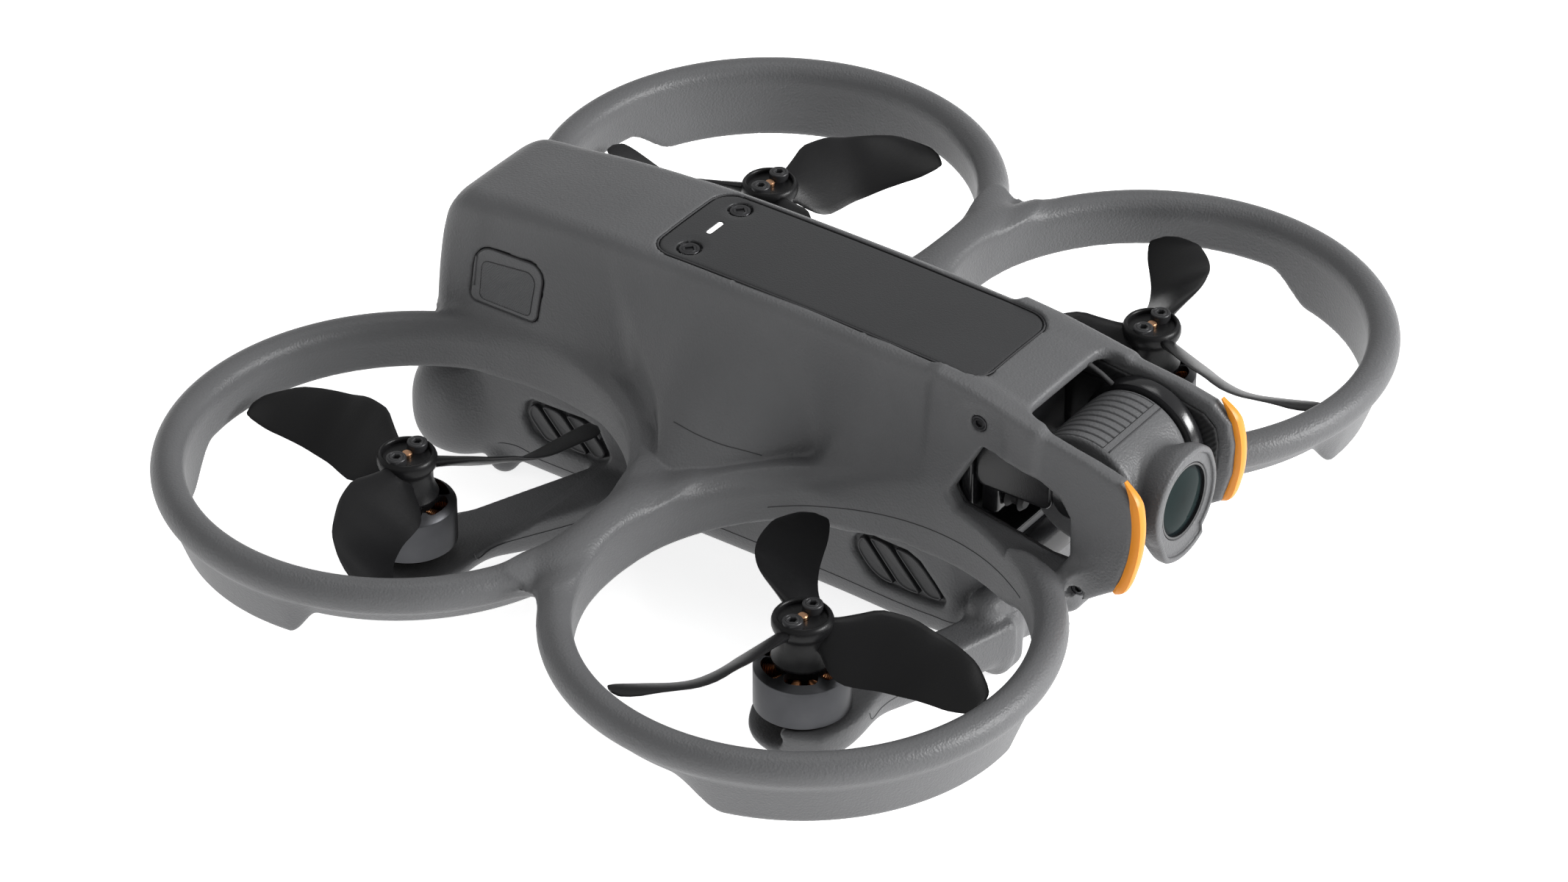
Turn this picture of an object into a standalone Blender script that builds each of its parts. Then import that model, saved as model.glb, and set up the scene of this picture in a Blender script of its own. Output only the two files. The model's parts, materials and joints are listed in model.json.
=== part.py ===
"""FPV racing drone with four ducted propellers and a tilting nose camera.

Frame: origin on the ground under the middle of the four propellers, +Z up, nose towards -Y,
left side towards +X. Constants are in millimetres; meshes are made in metres.
"""
import math

import bmesh
import bpy
from mathutils import Matrix, Vector

MM = 0.001
GAP = 0.3
FAR = 100.0
SIDES = [("right", -1), ("left", 1)]
CORNERS = [("rear_right", -1, 1), ("front_right", -1, -1), ("rear_left", 1, 1), ("front_left", 1, -1)]

# Propeller ducts
MOTOR_X = 58.43
MOTOR_Y = 44.82
RING_TOP = 36.5
TUBE_R = 3.33
DUCT_INNER_R = 40.91
DUCT_OUTER_R = DUCT_INNER_R + 2 * TUBE_R
TUBE_Z = RING_TOP - TUBE_R
DUCT_EDGE = 1.4
SHALLOW_Z = 26.0
DEEP_Z = 20.2
DUCT_SEGMENTS = 44
SKIRT_RAMP_DEG = 7.0
FRONT_SKIRT_DEG = (-95.0, -6.0)
REAR_SKIRT_DEG = (-12.0, 72.0)
DUCT_CUT_X = 19.4

# Hull: distance along Y, half widths at ring level, mid height and shoulder, top height
HULL_BOTTOM = 26.0
HULL_STATIONS = [
    (-64.5, 18.0, 17.0, 15.2, 59.4),
    (-52.0, 18.0, 16.8, 14.9, 61.9),
    (-30.0, 17.7, 16.2, 14.6, 63.2),
    (0.0, 17.6, 16.0, 14.4, 64.0),
    (22.0, 17.6, 16.0, 14.2, 64.0),
    (45.0, 17.7, 16.2, 14.0, 62.8),
    (60.0, 18.0, 16.4, 13.6, 61.4),
    (66.0, 17.8, 16.0, 13.2, 60.7),
    (67.4, 16.6, 14.8, 12.2, 59.6),
]
RING_LEVEL = 36.5
MID_LEVEL = 48.0
# Flare between two ducts: distance along X, half length in Y, top height
FLARE_STATIONS = [
    (11.0, 25.0, 57.0),
    (15.5, 22.0, 50.0),
    (19.0, 19.0, 45.0),
    (24.0, 14.5, 41.0),
    (31.0, 9.0, 38.2),
    (38.0, 4.0, 36.4),
]
BAY_HALF_X = 12.0
BAY_Z = (29.5, 58.2)
BAY_FRONT_Y = -30.0

# Battery release pads in the hull's flanks
PAD_Y = (45.5, 60.5)
PAD_Z = (40.0, 52.0)
PAD_SLANT = 2.2
PAD_CORNER = 2.0
PAD_OUT_X = 17.5
PAD_LEAN = -0.12
PAD_DEPTH = 1.4
PAD_TRAVEL = 1.2
# Nose
NOSE_SPLIT_Y = -46.0
ROOF_HALF_X = 11.8
ROOF_BOTTOM = 57.0
GUARD_X = 16.0
GUARD_THICK = 3.0
GUARD_LEAN = -0.075
GUARD_SPLAY = -0.035
GUARD_MID = (-68.0, 45.0)
GUARD_OUTLINE = [
    (-46.3, 27.0), (-46.3, 62.0), (-55.0, 61.2), (-65.2, 59.0), (-78.0, 57.0), (-85.4, 55.2),
    (-88.4, 51.6), (-89.0, 47.0), (-88.4, 40.0), (-86.0, 32.8), (-79.5, 28.0), (-62.0, 27.0),
]
GUARD_WINDOW = [
    (-49.2, 39.2), (-55.0, 50.2), (-59.0, 50.0), (-66.0, 48.9), (-71.9, 46.6), (-74.2, 43.6),
    (-74.7, 36.4), (-73.6, 34.2), (-70.0, 34.0), (-59.8, 35.6), (-50.8, 36.9),
]
GUARD_SCREWS = {"upper": (-53.6, 55.1), "lower": (-77.5, 30.8)}
SCREW_R = 1.6
SCREW_HEAD_HEIGHT = 1.2
STRIP_OUTLINE = [
    (-85.6, 55.6), (-89.0, 52.0), (-89.4, 47.0), (-88.8, 39.8), (-86.4, 33.0),
    (-87.4, 32.3), (-90.4, 39.4), (-91.2, 47.0), (-90.6, 52.8), (-86.4, 56.8),
]

# Camera
CAMERA_Y = -72.0
CAMERA_Z = 44.0
BARREL_R = 11.5
BARREL_HALF = 9.6
HOOD_R = 10.4
HOOD_FRONT_Y = -88.9
HOOD_DEPTH = 3.3
LENS_R = 7.3
LENS_DEPTH = 3.0
CUP_R = 11.4
CUP_X = (10.8, 13.2)
BRACKET_Y = -53.5
BRACKET_HALF = (11.5, 2.0)
BRACKET_Z = (33.0, 55.5)
PIVOT_R = 4.2

# Top plate
PLATE_Y = (-51.5, 22.5)
PLATE_HALF_X = 12.2
PLATE_THICK = 1.6
PLATE_CORNER = 4.5
PLATE_SCREW = (8.17, 16.1)
PLATE_SCREW_R = 1.75
PLATE_DROP = 0.15
STATUS_LIGHT = (2.6, 0.65)

# Rotors
HUB_TOP = 34.5
HUB_R = 5.7
HUB_THICK = 3.0
NECK_R = 4.0
PROP_R = 38.0
BELL_R = 9.0
BELL_Z = (17.5, 24.8)
PAD_TOP = 16.0
SHAFT_R = 1.2
HUB_SCREW_X = 3.15
HUB_SCREW_R = 1.65
BLADE_SECTIONS = [
    # radius, low edge and high edge across the blade, pitch in degrees, height of its axis, thickness
    (3.0, -1.5, 3.4, 37.0, 30.6, 2.0), (8.0, -3.4, 6.4, 37.0, 29.5, 1.7), (14.0, -2.6, 9.4, 37.0, 27.6, 1.3),
    (20.0, -1.1, 10.3, 35.0, 26.5, 1.1), (26.0, -1.0, 10.0, 29.0, 27.2, 0.9),
    (32.0, -1.9, 8.0, 24.0, 28.7, 0.8), (36.4, -1.9, 5.0, 15.0, 29.5, 0.7), (38.0, -0.5, 2.4, 12.0, 29.6, 0.6),
]
BLADE_ANGLES = {-1: 30.0, 1: 90.0}
SPIN = {"rear_right": -1, "front_left": -1, "front_right": 1, "rear_left": 1}

# Lower pod
POD_TOP = 25.7
POD_BOTTOM = 1.5
POD_STATIONS = [
    (-62.0, 9.0, 5.0, 16.5, 4.5),
    (-58.0, 13.4, 9.0, 20.0, 2.2),
    (-50.0, 15.6, 11.5, POD_TOP, POD_BOTTOM),
    (-20.0, 15.0, 12.0, POD_TOP, POD_BOTTOM),
    (20.0, 15.0, 12.0, POD_TOP, POD_BOTTOM),
    (52.0, 15.4, 12.0, POD_TOP, POD_BOTTOM),
    (63.0, 15.0, 11.5, POD_TOP, POD_BOTTOM),
]
POD_ROOM = ((-11.0, -44.0, 4.0), (11.0, 58.0, 40.0))
VENTS = {"rear": (32.0, 50.0, 11.5, 20.0), "front": (-46.5, -28.0, 11.5, 19.8)}
VENT_SLANT = 3.5
FEET = {"front": (9.0, -48.0), "rear": (9.0, 56.0)}
FOOT_R = 2.4
VENT_DEPTH = 2.2
VENT_FACE_X = 15.4
SLAT_COUNT = 4
SLAT_HALF = (0.9, 0.6)
SLAT_X = 14.2
LOBE_STATIONS = [
    (63.4, 4.0, 21.0, 3.0, 23.0), (67.0, 3.2, 21.8, 1.6, 23.8), (72.0, 3.4, 21.0, 1.8, 23.0),
    (75.5, 6.0, 18.5, 4.4, 20.0), (77.0, 9.0, 15.5, 8.0, 16.5),
]

# Motor arms
ARM_ROOTS = {1: (21.0, 29.5), -1: (20.4, -53.0)}
ARM_END_R = 10.2
ARM_ROOT_HALF = 6.2
ARM_BOTTOM = (8.5, 3.0)
ARM_ROOT_TOP = 14.2
ARM_INNER_X = 15.9

# Battery
BATTERY_Y = (-26.0, 68.2)
BUTTON_Z = 50.0
BUTTON_R = 3.9
BUTTON_TRAVEL = 0.4
BUTTON_WELL = 1.8


# ---------------------------------------------------------------- helpers

def clear_scene():
    for old in list(bpy.data.objects):
        bpy.data.objects.remove(old, do_unlink=True)


def make_collection(name):
    group = bpy.data.collections.new(name)
    bpy.context.scene.collection.children.link(group)
    return group


def principled(name, colour, roughness=0.6, metallic=0.0, alpha=1.0):
    material = bpy.data.materials.new(name)
    material.use_nodes = True
    shader = material.node_tree.nodes["Principled BSDF"]
    shader.inputs["Base Color"].default_value = (*colour, 1.0)
    shader.inputs["Roughness"].default_value = roughness
    shader.inputs["Metallic"].default_value = metallic
    shader.inputs["Alpha"].default_value = alpha
    return material


def finish_mesh(bm, name, group, place=(0.0, 0.0, 0.0)):
    """Scale from millimetres, point the faces out and link the object at its place."""
    bmesh.ops.scale(bm, vec=(MM, MM, MM), verts=bm.verts)
    bmesh.ops.recalc_face_normals(bm, faces=bm.faces)
    mesh = bpy.data.meshes.new(name)
    bm.to_mesh(mesh)
    bm.free()
    piece = bpy.data.objects.new(name, mesh)
    piece.location = Vector(place) * MM
    group.objects.link(piece)
    return piece


def loft(rings, name, group, place=(0.0, 0.0, 0.0), closed=False):
    """Join rings of equally many points; cap the two ends unless the loft closes on itself."""
    bm = bmesh.new()
    rows = [[bm.verts.new(point) for point in ring] for ring in rings]
    count = len(rows[0])
    last = len(rows) if closed else len(rows) - 1
    for i in range(last):
        here = rows[i]
        there = rows[(i + 1) % len(rows)]
        for j in range(count):
            k = (j + 1) % count
            bm.faces.new((here[j], here[k], there[k], there[j]))
    if not closed:
        bm.faces.new(rows[0])
        bm.faces.new(reversed(rows[-1]))
    bmesh.ops.triangulate(bm, faces=bm.faces)
    return finish_mesh(bm, name, group, place)


def box(low, high, name, group, place=(0.0, 0.0, 0.0), bevel=0.0, segments=1):
    size = Vector(high) - Vector(low)
    middle = (Vector(high) + Vector(low)) / 2
    bm = bmesh.new()
    bmesh.ops.create_cube(bm, size=1.0, matrix=Matrix.Translation(middle) @ Matrix.Diagonal((*size, 1.0)))
    piece = finish_mesh(bm, name, group, place)
    if bevel:
        add_bevel(piece, bevel, segments)
    return piece


def cylinder(radius, low, high, name, group, place=(0.0, 0.0, 0.0), axis="Z", sides=20):
    turn = {"Z": Matrix.Identity(4), "X": Matrix.Rotation(math.pi / 2, 4, "Y"),
            "Y": Matrix.Rotation(-math.pi / 2, 4, "X")}[axis]
    bm = bmesh.new()
    bmesh.ops.create_cone(bm, cap_ends=True, segments=sides, radius1=radius, radius2=radius,
                          depth=high - low, matrix=turn @ Matrix.Translation((0, 0, (high + low) / 2)))
    return finish_mesh(bm, name, group, place)


def turned(profile, name, group, place=(0.0, 0.0, 0.0), steps=24, axis="Z"):
    """Closed profile of (radius, height) points turned about the vertical axis, or laid along X or Y."""
    rings = []
    for i in range(steps):
        angle = math.tau * i / steps
        ring = [(r * math.cos(angle), r * math.sin(angle), z) for r, z in profile]
        rings.append(ring)
    if axis == "X":
        rings = [[(z, x, y) for x, y, z in ring] for ring in rings]
    if axis == "Y":
        rings = [[(y, z, x) for x, y, z in ring] for ring in rings]
    piece = loft(rings, name, group, place, closed=True)
    return piece


def extruded_outline(points, low, high, name, group, place=(0.0, 0.0, 0.0)):
    """Outline of (y, z) points made into a plate between two X values."""
    rings = [[(x, y, z) for y, z in points] for x in (low, high)]
    return loft(rings, name, group, place)


def add_bevel(piece, width, segments=1):
    bevel = piece.modifiers.new("rounded_edges", "BEVEL")
    bevel.width = width * MM
    bevel.segments = segments
    bevel.limit_method = "ANGLE"
    bevel.angle_limit = math.radians(40)


def boolean(piece, other, operation="DIFFERENCE"):
    step = piece.modifiers.new(operation.lower(), "BOOLEAN")
    step.operation = operation
    step.solver = "EXACT"
    step.object = other
    other.hide_render = True
    other.display_type = "WIRE"


def paint(piece, material):
    piece.data.materials.clear()
    piece.data.materials.append(material)
    return piece


def interpolate(stations, value, column):
    """Piecewise linear reading of one column of a station table."""
    if value <= stations[0][0]:
        return stations[0][column]
    for low, high in zip(stations, stations[1:]):
        if value <= high[0]:
            share = (value - low[0]) / (high[0] - low[0])
            return low[column] + share * (high[column] - low[column])
    return stations[-1][column]


def smooth(value):
    value = min(1.0, max(0.0, value))
    return value * value * (3 - 2 * value)


# ---------------------------------------------------------------- hull and ducts

def skirt_depth(angle_deg, front):
    """Height of the duct's lower edge: deep on the outer side, shallow elsewhere."""
    low, high = FRONT_SKIRT_DEG if front else REAR_SKIRT_DEG
    rise = smooth((angle_deg - low) / SKIRT_RAMP_DEG + 0.5)
    share = rise * smooth((high - angle_deg) / SKIRT_RAMP_DEG + 0.5)
    return SHALLOW_Z + (DEEP_Z - SHALLOW_Z) * share


def duct_section(edge_z):
    """Round top tube whose outer side tapers to a thin lower edge, as (radius, height) points."""
    middle = DUCT_INNER_R + TUBE_R
    arc = [math.pi - math.pi * i / 5 for i in range(6)]
    points = [(DUCT_INNER_R, edge_z)]
    points += [(middle + TUBE_R * math.cos(a), TUBE_Z + TUBE_R * math.sin(a)) for a in arc]
    points += [(DUCT_INNER_R + DUCT_EDGE, edge_z)]
    return points


def make_duct(corner, side, end, material):
    rings = []
    for i in range(DUCT_SEGMENTS):
        degrees = 360.0 * i / DUCT_SEGMENTS - 180.0
        edge_z = skirt_depth(degrees, end < 0)
        a = math.radians(degrees)
        rings.append([(side * r * math.cos(a), r * math.sin(a), z) for r, z in duct_section(edge_z)])
    place = (side * MOTOR_X, end * MOTOR_Y, 0)
    duct = loft(rings, "duct_" + corner, parts, place, closed=True)
    reach = DUCT_OUTER_R * 1.2
    inner = box((-reach, -3 * reach, 0), (DUCT_CUT_X, 3 * reach, 60), "cut_inner_" + corner, cutters)
    inner.scale.x = side
    boolean(duct, inner)
    other = box((0, -reach, -10), (3 * reach, GAP / 2, 70), "cut_middle_" + corner, cutters)
    other.scale = (side, end, 1)
    boolean(duct, other)
    return paint(duct, material)


def hull_section(y):
    low, mid, top, height = (interpolate(HULL_STATIONS, y, column) for column in (1, 2, 3, 4))
    half = [
        (low - 1.6, HULL_BOTTOM), (low, HULL_BOTTOM + 1.6), (low, RING_LEVEL - 2), (mid, MID_LEVEL),
        (top, height - 4.2), (top - 1.3, height - 1.3), (top - 4.2, height),
    ]
    return [(x, y, z) for x, z in half] + [(-x, y, z) for x, z in reversed(half)]


def flare(side, name, group):
    rings = []
    for x, half, height in FLARE_STATIONS:
        points = [
            (-half, HULL_BOTTOM + 0.02), (-half, min(height, RING_LEVEL) - 1.5),
            (-half * 0.55, height - 0.6), (0, height),
            (half * 0.55, height - 0.6), (half, min(height, RING_LEVEL) - 1.5), (half, HULL_BOTTOM + 0.02),
        ]
        rings.append([(side * x, y, z) for y, z in points])
    return loft(rings, name, group)


def plate_shape(name, group, grow, drop):
    """Rounded rectangle that follows the slope of the hull's top."""
    corner = PLATE_CORNER + grow
    low, high = PLATE_Y[0] - grow, PLATE_Y[1] + grow
    half = PLATE_HALF_X + grow
    steps = [math.pi / 2 * i / 4 for i in range(5)]
    stations = [(low + corner * (1 - math.cos(a)), half - corner * (1 - math.sin(a))) for a in steps]
    stations += [(y, half) for y in (-30.0, 0.0)]
    stations += [(high - corner * (1 - math.cos(a)), half - corner * (1 - math.sin(a)))
                 for a in reversed(steps)]
    rings = []
    for y, x in stations:
        top = interpolate(HULL_STATIONS, y, 4) - PLATE_DROP + grow * 4
        bottom = top - PLATE_THICK - drop - grow * 4
        rings.append([(-x, y, bottom), (x, y, bottom), (x, y, top), (-x, y, top)])
    return loft(rings, name, group)


def make_hull(material):
    hull = loft([hull_section(row[0]) for row in HULL_STATIONS], "hull_shell", parts)
    for label, side in SIDES:
        boolean(hull, flare(side, "add_flare_" + label, cutters), "UNION")
    for corner, side, end in CORNERS:
        place = (side * MOTOR_X, end * MOTOR_Y, 0)
        ring = cylinder(DUCT_OUTER_R + GAP, 10, RING_TOP + GAP, "cut_ring_" + corner, cutters, place,
                        sides=54)
        keep = box((0, -FAR, 9), (DUCT_CUT_X - GAP, FAR, RING_TOP + 1.5), "keep_" + corner, cutters,
                   (0, end * MOTOR_Y, 0))
        keep.scale.x = side
        boolean(ring, keep)
        boolean(hull, ring)
        bore = cylinder(DUCT_INNER_R, 10, 80, "cut_bore_" + corner, cutters, place, sides=54)
        boolean(hull, bore)
    bay = box((-BAY_HALF_X, BAY_FRONT_Y, BAY_Z[0]), (BAY_HALF_X, FAR, BAY_Z[1]), "cut_battery_bay", cutters,
              bevel=2.0)
    boolean(hull, bay)
    camera_bay = box((-FAR, -FAR, 0), (FAR, NOSE_SPLIT_Y, ROOF_BOTTOM), "cut_camera_bay", cutters)
    boolean(hull, camera_bay)
    for label, side in SIDES:
        cheek = box((ROOF_HALF_X, -FAR, 40), (FAR, NOSE_SPLIT_Y - 0.05, FAR), "cut_cheek_" + label, cutters)
        cheek.scale.x = side
        boolean(hull, cheek)
    boolean(hull, plate_shape("cut_plate_recess", cutters, GAP, GAP))
    for label, side in SIDES:
        boolean(hull, pad_block("cut_pad_" + label, cutters, side, GAP))
    return paint(hull, material)


# ---------------------------------------------------------------- battery release pads

def pad_block(name, group, side, grow):
    """Slanted pad set in the hull's flank."""
    low_y, high_y = PAD_Y[0] - grow, PAD_Y[1] + grow
    low_z, high_z = PAD_Z[0] - grow, PAD_Z[1] + grow
    corner = PAD_CORNER
    points = [
        (low_y, low_z + corner), (low_y + corner, low_z), (high_y - corner - PAD_SLANT, low_z),
        (high_y - PAD_SLANT, low_z + corner), (high_y, high_z - corner), (high_y - corner, high_z),
        (low_y + corner + PAD_SLANT, high_z), (low_y + PAD_SLANT, high_z - corner),
    ]
    outer = PAD_OUT_X + 6 * grow
    inner = PAD_OUT_X - PAD_DEPTH - (PAD_TRAVEL + 2 * GAP if grow else 0)
    rings = []
    for x in (inner, outer):
        rings.append([(side * (x + PAD_LEAN * (z - PAD_Z[0])), y, z) for y, z in points])
    return loft(rings, name, group)


def make_release_pad(label, side, material):
    pad = pad_block("release_pad_" + label, parts, side, 0)
    return paint(pad, material)


# ---------------------------------------------------------------- nose guards and trim

def lean_out(piece, side):
    """Shear a flat plate so that it leans with the flank and splays with the nose."""
    for vertex in piece.data.vertices:
        x, y, z = vertex.co / MM
        x += side * (GUARD_LEAN * (z - GUARD_MID[1]) + GUARD_SPLAY * (y - GUARD_MID[0]))
        vertex.co.x = x * MM
    return piece


def guard_plate(points, name, group, side, grow=0.0):
    inner = side * (GUARD_X - GUARD_THICK / 2 - grow)
    outer = side * (GUARD_X + GUARD_THICK / 2 + grow)
    return lean_out(extruded_outline(points, min(inner, outer), max(inner, outer), name, group), side)


def make_guard(label, side, material):
    guard = guard_plate(GUARD_OUTLINE, "side_guard_" + label, parts, side)
    boolean(guard, guard_plate(GUARD_WINDOW, "cut_window_" + label, cutters, side, grow=3.0))
    for where, (y, z) in GUARD_SCREWS.items():
        hole = cylinder(SCREW_R + GAP, -0.9, 6, "cut_screw_%s_%s" % (where, label), cutters,
                        guard_point(side, y, z), axis="X", sides=16)
        hole.scale.x = side
        boolean(guard, hole)
    return paint(guard, material)


def guard_point(side, y, z):
    x = GUARD_X + GUARD_THICK / 2 + GUARD_LEAN * (z - GUARD_MID[1]) + GUARD_SPLAY * (y - GUARD_MID[0])
    return (side * x, y, z)


def screw_head(name, radius, height, place, material, axis="Z", side=1):
    """Button head with a hexagon socket."""
    head = cylinder(radius, 0, height, name, parts, place, axis=axis, sides=12)
    socket = cylinder(radius * 0.5, height * 0.5, height * 2, "cut_" + name, cutters, place, axis=axis,
                      sides=6)
    if axis == "X":
        head.scale.x = side
        socket.scale.x = side
    boolean(head, socket)
    return paint(head, material)


def make_guard_screws(label, side, material):
    for where, (y, z) in GUARD_SCREWS.items():
        x, y, z = guard_point(side, y, z)
        screw_head("guard_screw_%s_%s" % (where, label), SCREW_R, SCREW_HEAD_HEIGHT,
                   (x - side * SCREW_HEAD_HEIGHT / 2, y, z), material, axis="X", side=side)


def make_strip(label, side, material):
    outline = [(y - GAP, z) for y, z in STRIP_OUTLINE]
    return paint(guard_plate(outline, "bumper_strip_" + label, parts, side, grow=0.35), material)


def make_top_plate(material):
    plate = plate_shape("top_plate", parts, 0, 0)
    x, y = PLATE_SCREW
    top = interpolate(HULL_STATIONS, y, 4)
    for label, side in SIDES:
        hole = cylinder(PLATE_SCREW_R + GAP, top - 1.0, top + 3, "cut_plate_screw_" + label, cutters,
                        (side * x, y, 0), sides=12)
        boolean(plate, hole)
    half_x, half_y = STATUS_LIGHT
    slot = box((-half_x, y - half_y, top - 1.0), (half_x, y + half_y, top + 3), "cut_status_slot", cutters)
    boolean(plate, slot)
    return paint(plate, material)


def make_plate_trim(screw_material, light_material):
    x, y = PLATE_SCREW
    top = interpolate(HULL_STATIONS, y, 4)
    for label, side in SIDES:
        screw_head("plate_screw_" + label, PLATE_SCREW_R, 0.6, (side * x, y, top - 0.75), screw_material)
    half_x, half_y = (half - GAP for half in STATUS_LIGHT)
    light = box((-half_x, y - half_y, top - 0.75), (half_x, y + half_y, top - 0.25), "status_light", parts)
    paint(light, light_material)


# ---------------------------------------------------------------- camera

def make_camera(body_material, hood_material, glass_material):
    """Barrel across the nose with a lens tube on its front; all three turn about the barrel's axis."""
    place = (0, CAMERA_Y, CAMERA_Z)
    bm = bmesh.new()
    bmesh.ops.create_cone(bm, cap_ends=True, segments=28, radius1=BARREL_R, radius2=BARREL_R,
                          depth=2 * BARREL_HALF, matrix=Matrix.Rotation(math.pi / 2, 4, "Y"))
    body = finish_mesh(bm, "camera_body", parts, place)
    add_bevel(body, 1.2)
    front = HOOD_FRONT_Y - CAMERA_Y
    tube = cylinder(HOOD_R, front + HOOD_DEPTH + GAP, -3.0, "add_lens_tube", cutters, place, axis="Y",
                    sides=24)
    boolean(body, tube, "UNION")
    seat = cylinder(LENS_R + 0.9, front - 2, front + 5.6, "cut_lens_seat", cutters, place, axis="Y", sides=24)
    boolean(body, seat)
    paint(body, body_material)
    back = front + HOOD_DEPTH
    hood_profile = [
        (HOOD_R, back), (HOOD_R, front + 0.8), (HOOD_R - 0.8, front),
        (LENS_R + 1.2, front), (LENS_R + GAP, front + 1.6), (LENS_R + GAP, back),
    ]
    hood = turned(hood_profile, "lens_hood", parts, place, steps=24, axis="Y")
    paint(hood, hood_material)
    glass_bm = bmesh.new()
    bmesh.ops.create_cone(glass_bm, cap_ends=True, segments=20, radius1=LENS_R, radius2=LENS_R * 0.6,
                          depth=LENS_DEPTH, matrix=Matrix.Translation((0, front + LENS_DEPTH + 0.2, 0)) @
                          Matrix.Rotation(math.pi / 2, 4, "X"))
    glass = finish_mesh(glass_bm, "lens_glass", parts, place)
    return paint(glass, glass_material)


def make_gimbal(cup_material, bracket_material):
    """Motor cup on the left of the barrel, and the fork that holds the barrel from behind."""
    place = (0, CAMERA_Y, CAMERA_Z)
    cup = cylinder(CUP_R, CUP_X[0], CUP_X[1], "gimbal_motor", parts, place, axis="X", sides=20)
    add_bevel(cup, 0.5)
    paint(cup, cup_material)
    pivot = cylinder(PIVOT_R, -CUP_X[1], -HOOD_R - GAP, "gimbal_pivot", parts, place, axis="X", sides=24)
    paint(pivot, bracket_material)
    half_x, half_y = BRACKET_HALF
    back = box((-half_x, BRACKET_Y - half_y, BRACKET_Z[0]), (half_x, BRACKET_Y + half_y, BRACKET_Z[1]),
               "gimbal_bracket", parts, bevel=0.8)
    return paint(back, bracket_material)


# ---------------------------------------------------------------- lower pod and arms

def pod_section(station):
    y, half, low_half, top, bottom = station
    rise = min(7.0, (top - bottom) * 0.45)
    side = [(low_half, bottom), (half - 0.8, bottom + rise), (half, bottom + rise * 1.6),
            (half - 0.6, top - 0.2)]
    return [(x, y, z) for x, z in side] + [(-x, y, z) for x, z in reversed(side)]


def vent_block(name, group, side, vent, grow, inner, outer):
    low_y, high_y, low_z, high_z = VENTS[vent]
    points = [
        (low_y - grow, low_z - grow), (high_y + grow - VENT_SLANT, low_z - grow),
        (high_y + grow, high_z + grow), (low_y - grow + VENT_SLANT, high_z + grow),
    ]
    rings = [[(side * x, y, z) for y, z in points] for x in (inner, outer)]
    return loft(rings, name, group)


def make_pod(material):
    pod = loft([pod_section(row) for row in POD_STATIONS], "lower_pod", parts)
    room = box(*POD_ROOM, "cut_pod_room", cutters, bevel=1.5)
    boolean(pod, room)
    for where, (x, y) in FEET.items():
        for label, side in SIDES:
            foot = cylinder(FOOT_R, 0, POD_BOTTOM + 0.8, "add_foot_%s_%s" % (where, label), cutters,
                            (side * x, y, 0), sides=12)
            boolean(pod, foot, "UNION")
    for vent in VENTS:
        for label, side in SIDES:
            name = "cut_vent_%s_%s" % (vent, label)
            boolean(pod, vent_block(name, cutters, side, vent, GAP, VENT_FACE_X - VENT_DEPTH, 20))
    return paint(pod, material)


def make_vents(material):
    for vent, (low_y, high_y, low_z, high_z) in VENTS.items():
        for label, side in SIDES:
            name = "vent_grille_%s_%s" % (vent, label)
            grille = vent_block(name, parts, side, vent, 0, VENT_FACE_X - VENT_DEPTH + GAP, SLAT_X)
            deep, wide = SLAT_HALF
            for i in range(SLAT_COUNT):
                y = low_y + 4.0 + i * (high_y - low_y - 6.0) / SLAT_COUNT
                slat = box((-deep, -wide, low_z + 0.4), (deep, wide, high_z - 0.4),
                           "add_%s_slat_%d" % (name, i), cutters, (side * SLAT_X, y, 0))
                boolean(grille, slat, "UNION")
            paint(grille, material)


def make_rear_lobe(label, side, material):
    """Rounded cover at the pod's rear lower corner."""
    rings = []
    for y, low_x, high_x, low_z, high_z in LOBE_STATIONS:
        middle = ((low_x + high_x) / 2, (low_z + high_z) / 2)
        half = ((high_x - low_x) / 2, (high_z - low_z) / 2)
        ring = []
        for i in range(12):
            a = math.tau * (i + 0.5) / 12
            c, s = math.cos(a), math.sin(a)
            swell = 1 / max(abs(c), abs(s)) ** 0.55
            ring.append((side * (middle[0] + half[0] * c * swell), y, middle[1] + half[1] * s * swell))
        rings.append(ring)
    return paint(loft(rings, "rear_lobe_" + label, parts), material)


def arm_outline(half, low, high):
    """Cross-section of an arm as (across, height) points."""
    return [(-half * 0.8, low), (-half, low + 2), (-half, high - 1.2), (-half * 0.9, high),
            (half * 0.9, high), (half, high - 1.2), (half, low + 2), (half * 0.8, low)]


def make_arm(corner, side, end, material):
    """Flat beam from the pod to a round motor pad; every section lies across the beam."""
    tip = Vector((MOTOR_X, end * MOTOR_Y))
    root = Vector(ARM_ROOTS[end])
    along = (root - tip).normalized()
    across = Vector((-along.y, along.x))
    length = (ARM_INNER_X - tip.x) / along.x
    rings = []
    starts = [-ARM_END_R * math.cos(math.pi / 2 * i / 6) for i in range(7)]
    starts[0] += 0.25
    beam = [length * share for share in (0.25, 0.45, 0.7, 1.0)]
    for s in starts + beam:
        blend = smooth((s - 2) / (length - 8))
        half = ARM_ROOT_HALF * blend + ARM_END_R * (1 - blend)
        if s <= 0:
            half = math.sqrt(max(ARM_END_R ** 2 - s * s, 0.4))
        low = ARM_BOTTOM[0] + (ARM_BOTTOM[1] - ARM_BOTTOM[0]) * blend
        high = PAD_TOP + (ARM_ROOT_TOP - PAD_TOP) * blend
        ring = []
        for w, z in arm_outline(half, low, high):
            slide = s - max(s, 0) / length * across.x * w / along.x
            point = tip + along * slide + across * w
            ring.append((side * point.x, point.y, z))
        rings.append(ring)
    arm = loft(rings, "motor_arm_" + corner, parts)
    return paint(arm, material)


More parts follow.
